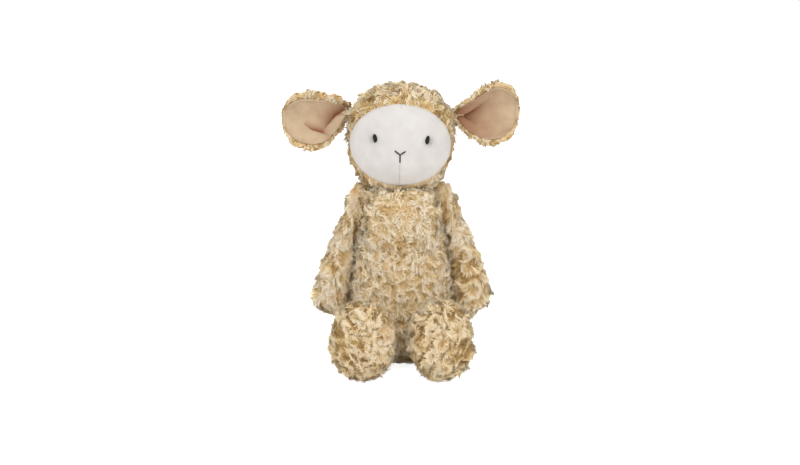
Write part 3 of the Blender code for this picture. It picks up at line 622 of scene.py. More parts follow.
# The head cover: a hood of the fleece that frames the face. Its pile stands up in tufts on the crown, which
# has a short parting in the middle, and turns away from the edge of the face.
FACE_HALF = (49.6 * MM, 39.7 * MM)
FACE_DROP = 4.5 * MM
CROWN_FROM = 245 * MM
CROWN_FLATNESS = 0.1
BEHIND = 9.0


def face_share(points):
    """How far out on the face's oval points are, with 1 on its edge, and BEHIND for all that faces back."""
    places = points @ np.array(unlean.to_3x3()).T + np.array(unlean.translation)
    share = np.hypot(places[:, 0] / FACE_HALF[0], (places[:, 2] + FACE_DROP) / FACE_HALF[1])
    return np.where(places[:, 1] > 0, BEHIND, share)


def flatten_crown(bm, flatness):
    """Lowers the points above the brow by a share of their height over it."""
    for vert in bm.verts:
        vert.co.z -= flatness * max(0, vert.co.z - CROWN_FROM)


def under_chin(points):
    """1 on the smooth rim of the fleece under the face, and 0 away from it."""
    low = np.clip((192 * MM - points[:, 2]) / (6 * MM), 0, 1)
    return low * np.clip((-18 * MM - points[:, 1]) / (6 * MM), 0, 1)


def head_trim(points):
    """The pile is short round the face and on the cheeks, and long where the head rests on the shoulders."""
    rim = np.clip((face_share(points) - 0.9) / 0.16, 0.4, 1)
    rim = rim + 0.4 * (points[:, 2] < 186 * MM) * (points[:, 1] > 0)
    cheek = np.clip((np.abs(points[:, 0]) - 34 * MM) / (8 * MM), 0, 1)
    cheek *= np.abs(points[:, 2] - 200 * MM) < 22 * MM
    rim *= 1 - 0.4 * cheek * (points[:, 1] < 12 * MM)
    return rim + (0.5 - rim) * under_chin(points)


def head_tone_and_painted_light_shade(points):
    """The pile is painted pale on the rim under the face, a painted light, and dark in the crown's parting, a
    painted shade.
    """
    painted_parting_shade = np.exp(-(points[:, 0] / (3.5 * MM)) ** 2) * (points[:, 1] < 0) * (points[:, 2] > 262 * MM)
    return -0.01 + 0.42 * under_chin(points) - 0.25 * painted_parting_shade


def head_comb(points):
    """The pile turns outward and back all over the head, but inward on the very edge of the face."""
    outward = np.where(face_share(points) < 1.0, -0.35, 0.6)[:, None]
    return unit((points - np.array(HEAD_MIDDLE)) * (1, 0, 1)) * outward + (0, 0.2, 0)


def head_share(points, ups):
    """The pile starts at the edge of the face and is thickest there."""
    share = face_share(points)
    return np.clip((share - 0.955) * 80, 0, 1.5 + (share < 1.02))


head_skin = stuffed_skin(
    "head_skin", ["head_cover", "head_stuffing", "face_panel_left", "face_panel_right"], 3.6 * MM, PILE_SINK,
    1.5 * MM, held=lambda point: point.y < -10 * MM or point.z < 175 * MM,
)
bm = bmesh.new()
bm.from_mesh(head_skin.data)
flatten_crown(bm, CROWN_FLATNESS)
inside = face_share(np.array([face.calc_center_median() for face in bm.faces])) < 0.95
bmesh.ops.delete(bm, geom=[face for face, hidden in zip(bm.faces, inside) if hidden], context="FACES")
clean_edges(bm)
relax(bm, [vert for vert in bm.verts if vert.is_boundary], 5)
bm.to_mesh(head_skin.data)
bm.free()
crown_parting = [(-1 * MM, (-34 + 7 * step) * MM, (272 + 2.2 * step) * MM) for step in range(4)]
head_fleece = grow_fleece(
    "head_fleece", head_skin, fleece, 13500, seed=21, curl=16 * MM, relief=3.0 * MM, comb=head_comb,
    trim=head_trim, tone=head_tone_and_painted_light_shade, share=head_share, partings=crown_parting,
)
stand_in(head_fleece, "head_cover", "head")


# The face: two panels of short white velour, sewn down the middle and round the edge, and pulled in at the
# eyes and the nose. Velour is cut so short that it looks smooth, with a soft edge to the light.
SIDES = {"left": -1, "right": 1}
EYES = {"left": (-24.3 * MM, 6.3 * MM), "right": (25.6 * MM, 6.3 * MM)}
NOSE = (0.0, -8.6 * MM)
EYE_DIMPLE = 3.6 * MM
NOSE_DIMPLE = 0.7 * MM
FACE_SWELL = 1.2 * MM


def fading(share):
    """1 where the share is 0, and softly less as it grows."""
    return 2.718 ** -share


def skin_depth(aside, up, sink=0.0):
    """How far forward of the head's middle plane its surface lies, at a place about the middle of the head."""
    wide, deep, tall = (half - sink for half in HEAD_HALF)
    girth = (1 - min(abs(up) / tall, 0.999) ** HEAD_SQUARENESS) ** (1 / HEAD_SQUARENESS)
    return deep * girth * max(1 - (aside / (wide * girth)) ** 2, 0.0) ** 0.5


def pressed(aside, up):
    """How hard the eyes press the velour down at a place about the middle of the oval, from 0 to 1; it also sets
    the painted shade round the eyes.
    """
    gaps = []
    for word, (eye_aside, eye_up) in EYES.items():
        away = aside - eye_aside - SIDES[word] * 1.8 * MM
        gaps.append((away ** 2 + (up - eye_up + 2.0 * MM) ** 2) / (4.6 * MM) ** 2)
    return fading(min(gaps))


def face_point(aside, up, lift=0.0):
    """The face's surface at a place about the middle of the oval, in the frame of the whole toy."""
    share = min(1.0, (aside / FACE_HALF[0]) ** 2 + (up / FACE_HALF[1]) ** 2)
    out = skin_depth(aside, up - FACE_DROP, 1.5 * MM) + FACE_SWELL * (1 - share) + lift
    out -= EYE_DIMPLE * pressed(aside, up)
    gap = (aside - NOSE[0]) ** 2 / (5 * MM) ** 2 + (up - NOSE[1]) ** 2 / (6 * MM) ** 2
    out -= NOSE_DIMPLE * fading(gap)
    return lean @ Vector((aside, -out, up - FACE_DROP))


def front_sheet(bm, weld, thickness):
    """Makes cloth of a bent grid: welded where it comes to a point, turned to the front and thickened."""
    bmesh.ops.remove_doubles(bm, verts=bm.verts, dist=weld)
    bmesh.ops.recalc_face_normals(bm, faces=bm.faces)
    if sum(face.normal.y for face in bm.faces) > 0:
        bmesh.ops.reverse_faces(bm, faces=bm.faces)
    bm.normal_update()
    bmesh.ops.solidify(bm, geom=bm.faces[:], thickness=thickness)


def speckle(tree, size, detail=2, rough=0.5):
    """A noise with swells of the given size in millimetres, fixed to the piece."""
    place = add_node(tree, "ShaderNodeTexCoord").outputs["Object"]
    return add_node(tree, "ShaderNodeTexNoise", {
        "Vector": place, "Scale": 1 / (size * MM), "Detail": detail, "Roughness": rough,
    }).outputs[0]


def tinted(tree, height, low, high):
    """Colours along a height, from low (height, colour) to high."""
    return add_node(tree, "ShaderNodeValToRGB", {0: height}, stops=[low, high]).outputs[0]


def bumped(tree, height, strength, distance):
    """Normals that a height in millimetres bends."""
    return add_node(tree, "ShaderNodeBump", {
        "Height": height, "Strength": strength, "Distance": distance * MM,
    }).outputs[0]


def velour_material(name, nap, patches, tints, layer, painted_shade_tint, bump):
    """Cut velour: a nap of fine points, a tint that drifts in patches, and a painted shade tint where the named
    layer says so.
    """
    material, tree = new_material(name)
    shade = add_node(tree, "ShaderNodeMix", {
        0: add_node(tree, "ShaderNodeAttribute", attribute_name=layer).outputs["Fac"],
        6: tinted(tree, speckle(tree, *patches), *tints), 7: linear(painted_shade_tint),
    }, data_type="RGBA")
    coat(tree, {
        "Base Color": shade.outputs[2], "Normal": bumped(tree, speckle(tree, nap, 3, 0.6), *bump),
        "Roughness": 0.9, "Specular IOR Level": 0.2, "Sheen Weight": 0.3, "Sheen Roughness": 0.5,
    })
    return material


# White velour: its nap is two thirds of a millimetre, its patches 14 mm, and it is painted grey round the eyes,
# a painted shade of their dimples.
velour = velour_material("white_polyester_velour", 2 / 3, (100 / 7, 2), ((0.3, "d1cdcb"), (0.75, "dbd8d5")),
                         "pressed", "a19b98", (0.25, 0.15))
for word, side in SIDES.items():
    bm = bmesh.new()
    painted_eye_shade = bm.verts.layers.float.new("pressed")
    bmesh.ops.create_grid(bm, x_segments=64, y_segments=96, size=1)
    for vert in bm.verts:
        across, rise = (vert.co.x + 1) / 2, sin(vert.co.y * pi / 2)
        across = sin(across * pi / 2)
        half = FACE_HALF[0] * (1 - min(rise * rise, 1)) ** 0.5
        aside = across * half
        edge = (across * across * (1 - rise * rise) + rise * rise) ** 0.5
        tuck = -2.2 * MM * max(0, (edge - 0.95) / 0.05) ** 2
        shown = min(1, max(0, (rise - 0.82) / 0.1, (-rise - 0.42) / 0.1))
        seam = -1.4 * MM * shown * fading(aside / (0.6 * MM))
        vert.co = face_point(side * aside, rise * FACE_HALF[1], tuck + seam)
        # Painted shade: the velour is painted grey round the eyes' dimples.
        vert[painted_eye_shade] = 0.6 * pressed(side * aside, rise * FACE_HALF[1]) ** 0.8
    front_sheet(bm, 0.02 * MM, 1.0 * MM)
    panel = shown_piece("face_velour_" + word, mesh_of(bm, "face_velour_" + word), velour)
    panel.data.set_sharp_from_angle(angle=radians(50))
    stand_in(panel, "face_panel_" + word, "head")


# The eyes: moulded oval safety eyes of black plastic, pressed through the velour from the front. Their
# polish gives one small sharp highlight, and a haze in swells of 2.5 mm keeps it from being perfect.
EYE_HALF = (2.7 * MM, 2.2 * MM, 4.8 * MM)
SHANK_RADIUS = 1.1 * MM
SHANK_LENGTH = 9 * MM


def film_over(tree, height, low, high):
    """A roughness that runs from low to high with a height."""
    return add_node(tree, "ShaderNodeMapRange", {"Value": height, "To Min": low, "To Max": high}).outputs[0]


jet, tree = new_material("polished_black_plastic")
haze = speckle(tree, 2.5)
coat(tree, {
    "Base Color": tinted(tree, haze, (0.3, "0d0907"), (0.8, "1c120d")),
    "Roughness": film_over(tree, haze, 0.12, 0.22), "IOR": 1.5, "Specular IOR Level": 0.3,
})
for word, (aside, up) in EYES.items():
    seat = face_point(aside, up)
    across = face_point(aside + 2 * MM, up) - face_point(aside - 2 * MM, up)
    ahead = across.cross(face_point(aside, up + 4 * MM) - face_point(aside, up - 4 * MM)).normalized()
    turn = ahead.to_track_quat("-Y", "Z").to_matrix().to_4x4()
    along = ahead.to_track_quat("Z", "Y").to_matrix().to_4x4()
    bm = bmesh.new()
    bmesh.ops.create_uvsphere(bm, u_segments=40, v_segments=24, radius=1,
                              matrix=Matrix.Translation(seat) @ turn @ Matrix.Diagonal((*EYE_HALF, 1)))
    bmesh.ops.create_cone(bm, cap_ends=True, segments=16, radius1=SHANK_RADIUS, radius2=SHANK_RADIUS,
                          depth=SHANK_LENGTH, matrix=Matrix.Translation(seat - ahead * 4.5 * MM) @ along)
    eye = shown_piece(word + "_safety_eye", mesh_of(bm, word + "_safety_eye"), jet)
    stand_in(eye, word + "_eye", "head")


# The nose: three hand stitches of black embroidery thread that meet in a Y, each two plies twisted together
# and sunk at both ends into the velour. The thread's fibres show as streaks of a third of a millimetre.
STITCHES = {
    "left": ((-0.5 * MM, 0.4 * MM), (-5.0 * MM, 3.9 * MM)),
    "right": ((0.5 * MM, 0.4 * MM), (5.0 * MM, 3.6 * MM)),
    "stem": ((0.0, 0.5 * MM), (0.2 * MM, -7.4 * MM)),
}
PLY = 0.4 * MM


def twisted_thread(name, path, ply_radius, pitch, material):
    """A thread of two plies twisted round the path."""
    curve = bpy.data.curves.new(name, "CURVE")
    curve.dimensions = "3D"
    curve.bevel_depth = ply_radius
    curve.bevel_resolution = 2
    curve.use_fill_caps = True
    run = [0.0]
    for a, b in zip(path, path[1:]):
        run.append(run[-1] + (b - a).length)
    for start in (0, pi):
        line = curve.splines.new("POLY")
        line.points.add(len(path) - 1)
        for place, point in enumerate(path):
            along = (path[min(place + 1, len(path) - 1)] - path[max(place - 1, 0)]).normalized()
            side = along.orthogonal() if abs(along.y) > 0.9 else along.cross(Vector((0, 1, 0))).normalized()
            turn = start + 2 * pi * run[place] / pitch
            offset = (side * cos(turn) + along.cross(side) * sin(turn)) * ply_radius * 0.85
            line.points[place].co = (*(point + offset), 1)
    thread = add_object(name, curve)
    bpy.context.view_layer.update()
    mesh = bpy.data.meshes.new_from_object(thread)
    bpy.data.objects.remove(thread)
    bm = bmesh.new()
    bm.from_mesh(mesh)
    bmesh.ops.remove_doubles(bm, verts=bm.verts, dist=0.001 * MM)
    bmesh.ops.recalc_face_normals(bm, faces=bm.faces)
    bm.to_mesh(mesh)
    bm.free()
    return shown_piece(name, mesh, material)


black_thread, tree = new_material("black_embroidery_thread")
coat(tree, {
    "Base Color": tinted(tree, speckle(tree, 1 / 3), (0.3, "0b0b0c"), (0.8, "1a1919")),
    "Roughness": 0.6, "Specular IOR Level": 0.2,
})
for word, (near, far) in STITCHES.items():
    path = []
    for step in range(25):
        share = step / 24
        lift = 0.35 * MM * sin(pi * share) ** 0.5 - 0.3 * MM * (abs(2 * share - 1) ** 8)
        aside = NOSE[0] + near[0] + (far[0] - near[0]) * share
        path.append(face_point(aside, NOSE[1] + near[1] + (far[1] - near[1]) * share, lift))
    stitch = twisted_thread("nose_thread_" + word, path, PLY, 1.8 * MM, black_thread)
    stand_in(stitch, "nose_stitch_" + word, "head")


# The ears: a fleece back whose edge rolls round a lining of peach velour, pinched together at the root. The
# pinch throws the lining into deep creases, and a flap of it folds forward beside them.
# Each outline row is (how far out, middle, half height), and each crease runs from the pinch and fades out.
EARS = {
    "left": {
        "side": -1, "seed": 41, "pinch_rise": 1.9 * MM, "round_from": 44 * MM, "reach": 61.5 * MM,
        "painted_root_shade": 0.1, "roll": 1.2 * MM,
        "outline": ((0, 1, 3), (3, -0.5, 9.5), (10, -4.6, 14.4), (20, -8.2, 20.7), (32, -8.9, 23.2),
                    (43, -8, 21.8), (52, -7, 19.5), (64, -5.5, 18.5)),
        "creases": (
            {"line": ((0, -0.5), (9, -3.4), (24.5, -20)), "flap": -1, "height": 6.5, "hollow": 6.0,
             "spread": 8},
            {"line": ((24.5, -20), (34, -17), (42.5, -10.5)), "flap": -1, "height": 2.0, "hollow": 1.5,
             "spread": 5},
        ),
    },
    "right": {
        "side": 1, "seed": 42, "pinch_rise": 4.6 * MM, "round_from": 42 * MM, "reach": 60 * MM,
        "painted_root_shade": 0.9, "roll": -0.3 * MM,
        "outline": ((0, 0, 3), (7, -3, 10.5), (16, -3.2, 16.8), (26, -2.2, 23.2), (34, 0, 26), (40, 1.1, 25.9),
                    (50, 2.5, 23), (58, 3.5, 23), (66, 4, 22)),
        "creases": (
            {"line": ((0, -1), (9.9, -0.1), (26.1, 10.9), (32, 15.8)), "flap": 1, "height": 6.5, "hollow": 5.5,
             "spread": 8},
            {"line": ((0, -2), (5.7, -2.6), (9.9, -5.2), (15, -8.3), (19.3, -11.5)), "flap": -1, "height": 3.0,
             "hollow": 3.0, "spread": 5},
        ),
    },
}
EAR_CUP = 9.0 * MM
EAR_THICK = 4.0 * MM
LINING_AHEAD = 3.2 * MM
PLEAT_DEPTH = 8.5 * MM
places_of = {joint["name"]: Vector(joint["pos_m"]) for joint in frame["record"]["behaviour"]["joints"]}


def ear_span(ear, out):
    """The middle and half height of an ear's lining at a distance out, in metres."""
    rows = np.array(ear["outline"]) * MM
    window = out + np.linspace(-3, 3, 7) * MM
    middle, half = (float(np.mean(np.interp(window, rows[:, 0], rows[:, column]))) for column in (1, 2))
    beyond = max(0.0, (out - ear["round_from"]) / (ear["reach"] - ear["round_from"]))
    return middle, half * max(0.0, 1 - beyond * beyond) ** 0.5


def nearest_on(line, spot):
    """How far a spot lies beside a line, above it counted up, and at what share of the line's length."""
    whole = sum((b - a).length for a, b in zip(line, line[1:]))
    run, best = 0.0, None
    for a, b in zip(line, line[1:]):
        way = b - a
        share = min(1, max(0, (spot - a).dot(way) / way.length_squared))
        gap = spot - (a + way * share)
        if best is None or gap.length < abs(best[0]):
            best = (gap.length * (1 if way.cross(gap) > 0 else -1), (run + way.length * share) / whole)
        run += way.length
    return best


def crease_relief(ear, out, up):
    """How far a crease lifts the lining forward at a place, and how deep in its hollow the place is."""
    relief, shade = 0.0, 0.0
    for crease in ear["creases"]:
        gap, along = nearest_on([Vector((x, y)) * MM for x, y in crease["line"]], Vector((out, up)))
        gap *= crease["flap"]
        fade = cos(along * pi / 2) ** 0.7 if along < 1 else 0.0
        if gap > 0:
            brow = 1 - fading(gap / (0.6 * MM))
            relief += crease["height"] * MM * fade * brow * fading((gap / (13 * MM)) ** 2)
        else:
            hollow = fade * fading(-gap / (crease["spread"] * MM))
            relief -= crease["hollow"] * MM * hollow
            shade = max(shade, hollow)
    return relief, shade


def ear_point(word, out, up, lift):
    """A place on an ear's face: out and up from its pinch, lifted forward of its middle layer."""
    ear = EARS[word]
    middle, half = ear_span(ear, min(max(out, 0), ear["reach"]))
    rise = (up - middle) / max(half, 6 * MM)
    cup = EAR_CUP * min(rise * rise, 1.6) * min(1, half / (20 * MM))
    pinch = places_of[word + "_ear_flap"]
    return Vector((pinch.x + ear["side"] * out, pinch.y - lift - cup, pinch.z + ear["pinch_rise"] + up))


def bare_of_lining(ear, pinch, points, ups):
    """1 where an ear's fleece shows, and 0 under its lining."""
    out = (points[:, 0] - pinch.x) * ear["side"]
    spans = np.array([ear_span(ear, min(max(place, 0), ear["reach"])) for place in out])
    off = np.abs(points[:, 2] - pinch.z - spans[:, 0])
    inside = (off < spans[:, 1] - 1.0 * MM) & (out > 1 * MM)
    rim = (off > spans[:, 1] - 5.0 * MM) | (out > ear["reach"] - 7.0 * MM)
    return np.where(inside & (ups[:, 1] < np.where(rim, -0.3, 0.2)), 0.0, 1.0)


def ear_trim(hub, points):
    """The pile is longest at the top of an ear and shortest at its outer end."""
    out = np.abs(points[:, 0])
    top = (points[:, 2] > hub[2] + 8 * MM) & (out < abs(hub[0]) + 4 * MM)
    return np.where(top, 1.0, 0.75 - 0.4 * (out > abs(hub[0]) + 6 * MM))


# Peach velour: its nap is five sevenths of a millimetre, its patches 11 mm, and a painted red-brown shade lies
# in the creases and towards the root.
peach = velour_material("peach_polyester_velour", 5 / 7, (100 / 9, 3), ((0.3, "b9a184"), (0.7, "cbb496")),
                        "hollow", "8e5738", (0.3, 0.2))
for word, ear in EARS.items():
    bm = bmesh.new()
    hollow = bm.verts.layers.float.new("hollow")
    bmesh.ops.create_grid(bm, x_segments=104, y_segments=88, size=1)
    for vert in bm.verts:
        out = ear["reach"] * sin((vert.co.x + 1) / 2 * pi / 2)
        middle, half = ear_span(ear, out)
        up = middle + half * vert.co.y
        edge = max(abs(vert.co.y), (out / ear["reach"]) ** 3)
        relief, shade = crease_relief(ear, out, up)
        # Painted shade: red-brown in the creases' hollows, and towards the root, most on the right ear.
        vert[hollow] = min(1, max(1.25 * shade, ear["painted_root_shade"] * (1 - out / ear["reach"]) ** 1.2))
        tuck = 3.0 * MM * max(0, (edge - 0.94) / 0.06) ** 2 - 1.3 * MM * fading(((edge - 0.91) / 0.05) ** 2)
        vert.co = ear_point(word, out, up, LINING_AHEAD + relief * min(1, (1 - edge) / 0.08 + 0.25) - tuck)
    front_sheet(bm, 0.02 * MM, 0.8 * MM)
    ear_velour = shown_piece(word + "_ear_velour", mesh_of(bm, word + "_ear_velour"), peach)
    stand_in(ear_velour, word + "_ear_lining", word + "_ear")

    bm = bmesh.new()
    bmesh.ops.create_grid(bm, x_segments=40, y_segments=30, size=1)
    for vert in bm.verts:
        out = -3 * MM + (ear["reach"] + 4.5 * MM) * sin((vert.co.x + 1) / 2 * pi / 2)
        middle, half = ear_span(ear, min(max(out - 1.5 * MM, 0), ear["reach"]))
        up = middle + (half + 2.5 * MM) * vert.co.y + ear["roll"] * max(vert.co.y, 0)
        pleat = max(0, -crease_relief(ear, out, up)[0])
        vert.co = ear_point(word, out, up, 1.0 * MM - PLEAT_DEPTH * tanh(1.5 * pleat / PLEAT_DEPTH))
    front_sheet(bm, 0.3 * MM, EAR_THICK)
    root = places_of[word + "_ear_flap"]
    bmesh.ops.create_icosphere(bm, subdivisions=3, radius=5.5 * MM,
                               matrix=Matrix.Translation(root + Vector((0, 5 * MM, 0))))
    ear_skin = add_object(word + "_ear_skin", mesh_of(bm, word + "_ear_skin"))
    even_mesh(ear_skin, 1.8 * MM, rounds=4)
    pinch = root + Vector((0, 0, ear["pinch_rise"]))
    hub = np.array(pinch) + np.array((ear["side"] * 34 * MM, 0, ear["outline"][4][1] * MM))
    ear_fleece = grow_fleece(
        word + "_ear_fleece", ear_skin, fleece, 5600, seed=ear["seed"], tone=0.08, length=7 * MM, curl=9 * MM,
        relief=0.3 * MM, width=0.44 * MM, comb=lambda points: 1.6 * unit((points - hub) * (1, 0, 1)),
        share=lambda points, ups: bare_of_lining(ear, pinch, points, ups),
        trim=lambda points: ear_trim(hub, points),
    )
    stand_in(ear_fleece, word + "_ear_back", word + "_ear")


# The arms: long sleeves of the fleece that hang from slack roots, stuffed firmly only in the hands. Their pile
# falls towards the hand.
ARM_SEEDS = {"left": 51, "right": 52}
ARM_TOP_HALF = (10.5 * MM, 11.0 * MM, 13.5 * MM)
ARM_UPPER_HALF = (10.5 * MM, 10.5 * MM, 17.0 * MM)


def arm_inside(points):
    """1 on the side of an arm that lies against the torso, and 0 on the rest of it."""
    return np.clip((arm_fold(points[:, 2]) + 7 * MM - np.abs(points[:, 0])) / (3 * MM), 0, 1)


def arm_trim(points):
    """The pile of an arm is shorter at its top, and on its inner side in front."""
    top = np.clip(1 - (points[:, 2] - 160 * MM) / (40 * MM), 0.6, 1)
    return top * (1 - 0.4 * arm_inside(points) * (points[:, 1] < 0))


for word, side in SIDES.items():
    arm_skin = stuffed_skin(
        word + "_arm_skin", [word + "_arm_cover", word + "_arm_stuffing"], 3.0 * MM, 1.6 * MM, 2.0 * MM,
        held=lambda point: point.z > 150 * MM, clear=1.5 * MM,
        bulges=[((side * 39.5 * MM, 0, 168 * MM), ARM_TOP_HALF),
                ((side * 46 * MM, 0, 153 * MM), ARM_UPPER_HALF)],
    )
    arm = grow_fleece(
        word + "_arm_fleece", arm_skin, fleece, 9400, seed=ARM_SEEDS[word], length=9.5 * MM, relief=1.6 * MM,
        grain=(1.1, 1.1, 0.5), comb=(0, 0, -1.3), press=off_head, trim=arm_trim,
        # The inner side against the torso is painted darker, a painted shade.
        tone=lambda points: 0.16 - 0.28 * arm_inside(points),
    )
    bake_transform(arm)
    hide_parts(word + "_arm_cover")


# The legs and their soles: short stuffed sleeves that end in round feet. Each sole is a disc of the same
# fleece, sewn in at the rim, and its pile swirls round the middle of the foot. A sleeve's root is filled out.
SOLE_SEAM = -105.0 * MM
LEG_ROOT = (((0, 0, 1), (14, 14, 14)), ((0, -10, 2), (14.5, 12, 15)))
LEG_SEEDS = {"left": 61, "right": 62}
for word, seed in LEG_SEEDS.items():
    hip = places_of[word + "_leg_swing"]
    low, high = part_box(word + "_sole")
    leg_skin = stuffed_skin(
        word + "_leg_skin", [word + "_leg_cover", word + "_sole", word + "_leg_stuffing"], 3.0 * MM, 3.2 * MM,
        1.5 * MM, held=lambda point: abs(point.y - SOLE_SEAM) < 1.6 * MM or point.y > -40 * MM,
        bulges=[(hip + Vector(place) * MM, Vector(half) * MM) for place, half in LEG_ROOT],
    )
    sleeve_skin = cut_panel(word + "_sleeve_skin", leg_skin, (0, SOLE_SEAM, 0), (0, -1, 0))
    sole_skin = cut_panel(word + "_sole_skin", leg_skin, (0, SOLE_SEAM, 0), (0, 1, 0))
    bpy.data.objects.remove(leg_skin)
    leg = grow_fleece(word + "_leg_fleece", sleeve_skin, fleece, 7700, seed=seed, comb=(0, -0.5, -0.2),
                      tone=-0.08, press=off_seat)
    sole = grow_fleece(word + "_sole_fleece", sole_skin, fleece, 7200, seed=seed + 10, curl=13 * MM,
                       relief=3.0 * MM, comb=(0, 0, 0), lean_in=0.22, tone=-0.14, press=off_seat,
                       partings=[((low[0] + high[0]) / 2, low[1], (low[2] + high[2]) / 2)])
    stand_in(leg, word + "_leg_cover", word + "_leg")
    stand_in(sole, word + "_sole", word + "_leg")


# The stuffing: loose polyester fibre, teased into wads that fill the covers. Each wad is lumpy and a little
# smaller than the cover round it, the head's is flattened under the crown, and its hairs lie in waves.
WAD_FLATNESS = CROWN_FLATNESS + 0.08
WADS = {
    "body_stuffing": "torso", "neck_stuffing": "neck", "head_stuffing": "head",
    "left_arm_stuffing": "left_arm", "right_arm_stuffing": "right_arm",
    "left_leg_stuffing": "left_leg", "right_leg_stuffing": "right_leg",
}
fibre, tree = new_material("teased_polyester_fibre")
place = add_node(tree, "ShaderNodeTexCoord").outputs["Object"]
bend = add_node(tree, "ShaderNodeTexNoise", {"Vector": place, "Scale": 120, "Detail": 3})
hairs = add_node(tree, "ShaderNodeTexWave", {
    "Vector": bend.outputs["Color"], "Scale": 14, "Distortion": 6, "Detail": 3,
}).outputs[0]
coat(tree, {
    "Base Color": tinted(tree, hairs, (0.2, "e6e4df"), (0.8, "f6f5f2")),
    "Normal": bumped(tree, hairs, 0.6, 0.5), "Roughness": 0.95, "Specular IOR Level": 0.1, "Sheen Weight": 0.4,
})
for node, body in WADS.items():
    wad_skin = stuffed_skin(node + "_skin", [node], 3.4 * MM, 2.0 * MM, 0.0, simulate=False)
    bm = bmesh.new()
    bm.from_mesh(wad_skin.data)
    bpy.data.objects.remove(wad_skin)
    push_out(bm, lambda place: (noise.noise(place * 90) - 0.3) * 1.6 * MM)
    flatten_crown(bm, WAD_FLATNESS)
    wad = shown_piece(node + "_wad", mesh_of(bm, node + "_wad"), fibre)
    stand_in(wad, node, body)


# The seat weight: a pouch of plain cotton, drawn up in gathers, that holds plastic pellets and keeps the toy
# sitting upright. The cotton shows its weave, and the pellets a faint mottle.
THREAD_PITCH = 0.8 * MM
GATHERS = 16
cotton, tree = new_material("plain_woven_cotton")
place = add_node(tree, "ShaderNodeTexCoord").outputs["Object"]
warp, weft = (add_node(tree, "ShaderNodeTexWave", {"Vector": place, "Scale": 0.32 / THREAD_PITCH},
                       bands_direction=way).outputs["Fac"] for way in ("X", "Z"))
weave = add_node(tree, "ShaderNodeMath", {0: warp, 1: weft}, operation="MULTIPLY").outputs[0]
coat(tree, {
    "Base Color": tinted(tree, weave, (0.0, "cfccc2"), (0.6, "e8e5dc")),
    "Normal": bumped(tree, weave, 0.5, 0.3), "Roughness": 0.9, "Specular IOR Level": 0.2,
})
low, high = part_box("bean_pouch")
pouch_middle, pouch_half = (low + high) / 2, (high - low) / 2


def gather_depth(place):
    """How far the gathers draw the pouch in: more and more towards its top."""
    height = max(0.0, (place.z - pouch_middle.z) / pouch_half.z)
    turn = np.arctan2(place.y - pouch_middle.y, place.x - pouch_middle.x)
    return 0.4 * MM + 0.9 * MM * height * (1 + sin(turn * GATHERS))


pouch_skin = stuffed_skin("pouch_skin", ["bean_pouch", "seat_beans"], 2.4 * MM, 0.3 * MM, 0.0, simulate=False)
bm = bmesh.new()
bm.from_mesh(pouch_skin.data)
bpy.data.objects.remove(pouch_skin)
push_out(bm, lambda place: -gather_depth(place))
bmesh.ops.solidify(bm, geom=bm.faces[:], thickness=0.6 * MM)
pouch = shown_piece("cotton_pouch", mesh_of(bm, "cotton_pouch"), cotton)
stand_in(pouch, "bean_pouch", "torso")

PELLET = Vector((1.9 * MM, 1.9 * MM, 1.3 * MM))
PELLET_PITCH = 3.3 * MM
PELLET_TRIES = 6000
resin, tree = new_material("cut_polyethylene_pellets")
coat(tree, {
    "Base Color": tinted(tree, speckle(tree, 10 / 3, 1), (0.35, "bcbec4"), (0.65, "d6d8dc")),
    "Roughness": 0.45, "Subsurface Weight": 0.2, "Subsurface Scale": 1 * MM,
})
low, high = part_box("seat_beans")
heart, room = (low + high) / 2, (high - low) / 2 - PELLET
rng = np.random.default_rng(7)
pellets = np.zeros((0, 3))
for share in rng.uniform(-1, 1, (PELLET_TRIES, 3)):
    spot = np.array(heart) + share * np.array(room)
    free = (np.sum((spot - pellets) ** 2, axis=1) > PELLET_PITCH ** 2).all()
    if 0.62 < np.linalg.norm(share) < 0.94 and free:
        pellets = np.vstack([pellets, spot])
bm = bmesh.new()
bmesh.ops.create_icosphere(bm, subdivisions=2, radius=1, matrix=Matrix.Diagonal((*PELLET, 1)))
bm.verts.index_update()
grain = np.array([vert.co for vert in bm.verts])
grain_faces = np.array([[vert.index for vert in face.verts] for face in bm.faces])
bm.free()
turns = [np.array(Euler(rng.uniform(0, pi, 3)).to_matrix()) for _ in pellets]
points = pellets[:, None] + np.array([grain @ turn for turn in turns])
faces = grain_faces[None] + (np.arange(len(pellets)) * len(grain))[:, None, None]
mesh = bpy.data.meshes.new("seat_pellets")
mesh.from_pydata(points.reshape(-1, 3), [], faces.reshape(-1, 3))
stand_in(shown_piece("seat_pellets", mesh, resin), "seat_beans", "torso")


# The sewing threads: strong beige polyester, drawn round the neck and the limbs' roots, knotted behind the ears
# and laced across the closed slit in the back. Their fibres show as streaks of 0.4 mm.
HOOPS = {
    "neck_thread": "neck_ring", "left_shoulder_ring": "left_shoulder", "right_shoulder_ring": "right_shoulder",
    "left_hip_ring": "left_hip", "right_hip_ring": "right_hip",
}
KNOTS = {"left_ear_knot": "left_ear_root", "right_ear_knot": "right_ear_root"}
CLOSING_STITCHES = 8
beige, tree = new_material("beige_sewing_thread")
coat(tree, {
    "Base Color": tinted(tree, speckle(tree, 0.4), (0.3, "b59a70"), (0.8, "d8c096")),
    "Roughness": 0.6, "Sheen Weight": 0.2, "Specular IOR Level": 0.4,
})


def node_points(node):
    """The points of a CAD node, as rows of three."""
    return np.array([vert.co for vert in frame["nodes"][node].data.vertices])


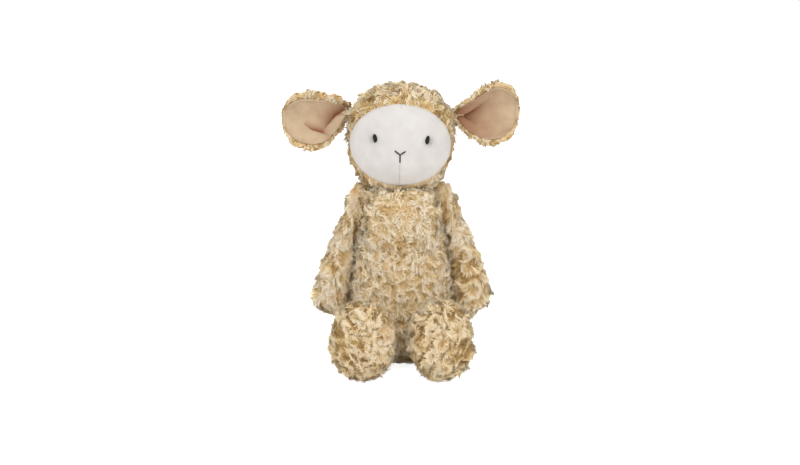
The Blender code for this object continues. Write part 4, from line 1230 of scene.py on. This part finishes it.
for node, body in HOOPS.items():
    spots = node_points(node)
    heart = spots.mean(0)
    ways = np.linalg.svd(spots - heart, full_matrices=False)[2]
    reach = np.linalg.norm((spots - heart) @ ways[:2].T, axis=1)
    size = (reach.min() + reach.max()) / 2
    half_thick = (reach.max() - reach.min()) / 2
    path = [Vector(heart + size * (cos(turn) * ways[0] + sin(turn) * ways[1]))
            for turn in np.linspace(0, 2 * pi, 97)]
    hoop = twisted_thread(node + "_plied", path, half_thick * 0.52, 5 * half_thick, beige)
    stand_in(hoop, node, body)
for node, body in KNOTS.items():
    low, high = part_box(node)
    heart, size = (low + high) / 2, (high - low).x / 2
    path = []
    for turn in np.linspace(0, 2 * pi, 65):
        loop = Vector((sin(turn) + 2 * sin(2 * turn), cos(turn) - 2 * cos(2 * turn), -1.2 * sin(3 * turn)))
        path.append(heart + loop * size * 0.24)
    knot = twisted_thread(node + "_tied", path, size * 0.13, size, beige)
    stand_in(knot, node, body)
spots = node_points("back_closing_stitches")
low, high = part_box("back_closing_stitches")
path = []
for step in range(CLOSING_STITCHES * 8 + 1):
    rise = low.z + (high.z - low.z) * step / (CLOSING_STITCHES * 8)
    near = spots[np.abs(spots[:, 2] - rise).argsort()[:12]].mean(0)
    aside = (high.x - low.x) / 2 * 0.85 * sin(pi * step / 4)
    path.append(Vector(((low.x + high.x) / 2 + aside, near[1] + 0.4 * MM, rise)))
lacing = twisted_thread("back_closing_lacing", path, 0.3 * MM, 2 * MM, beige)
stand_in(lacing, "back_closing_stitches", "torso")


# The eyes' washers: stamped white polypropylene, pushed onto the shanks behind the velour. They keep their
# solid, with the fine scuffs of a tumbled plastic part, about 1 mm long.
washer_plastic, tree = new_material("white_polypropylene")
scuff = speckle(tree, 10 / 9, 4, 0.7)
coat(tree, {
    "Base Color": tinted(tree, scuff, (0.3, "d9d9d4"), (0.7, "e8e8e4")),
    "Roughness": film_over(tree, scuff, 0.35, 0.55),
})
for word in EYES:
    for slot in frame["nodes"][word + "_eye_washer"].material_slots:
        slot.material = washer_plastic
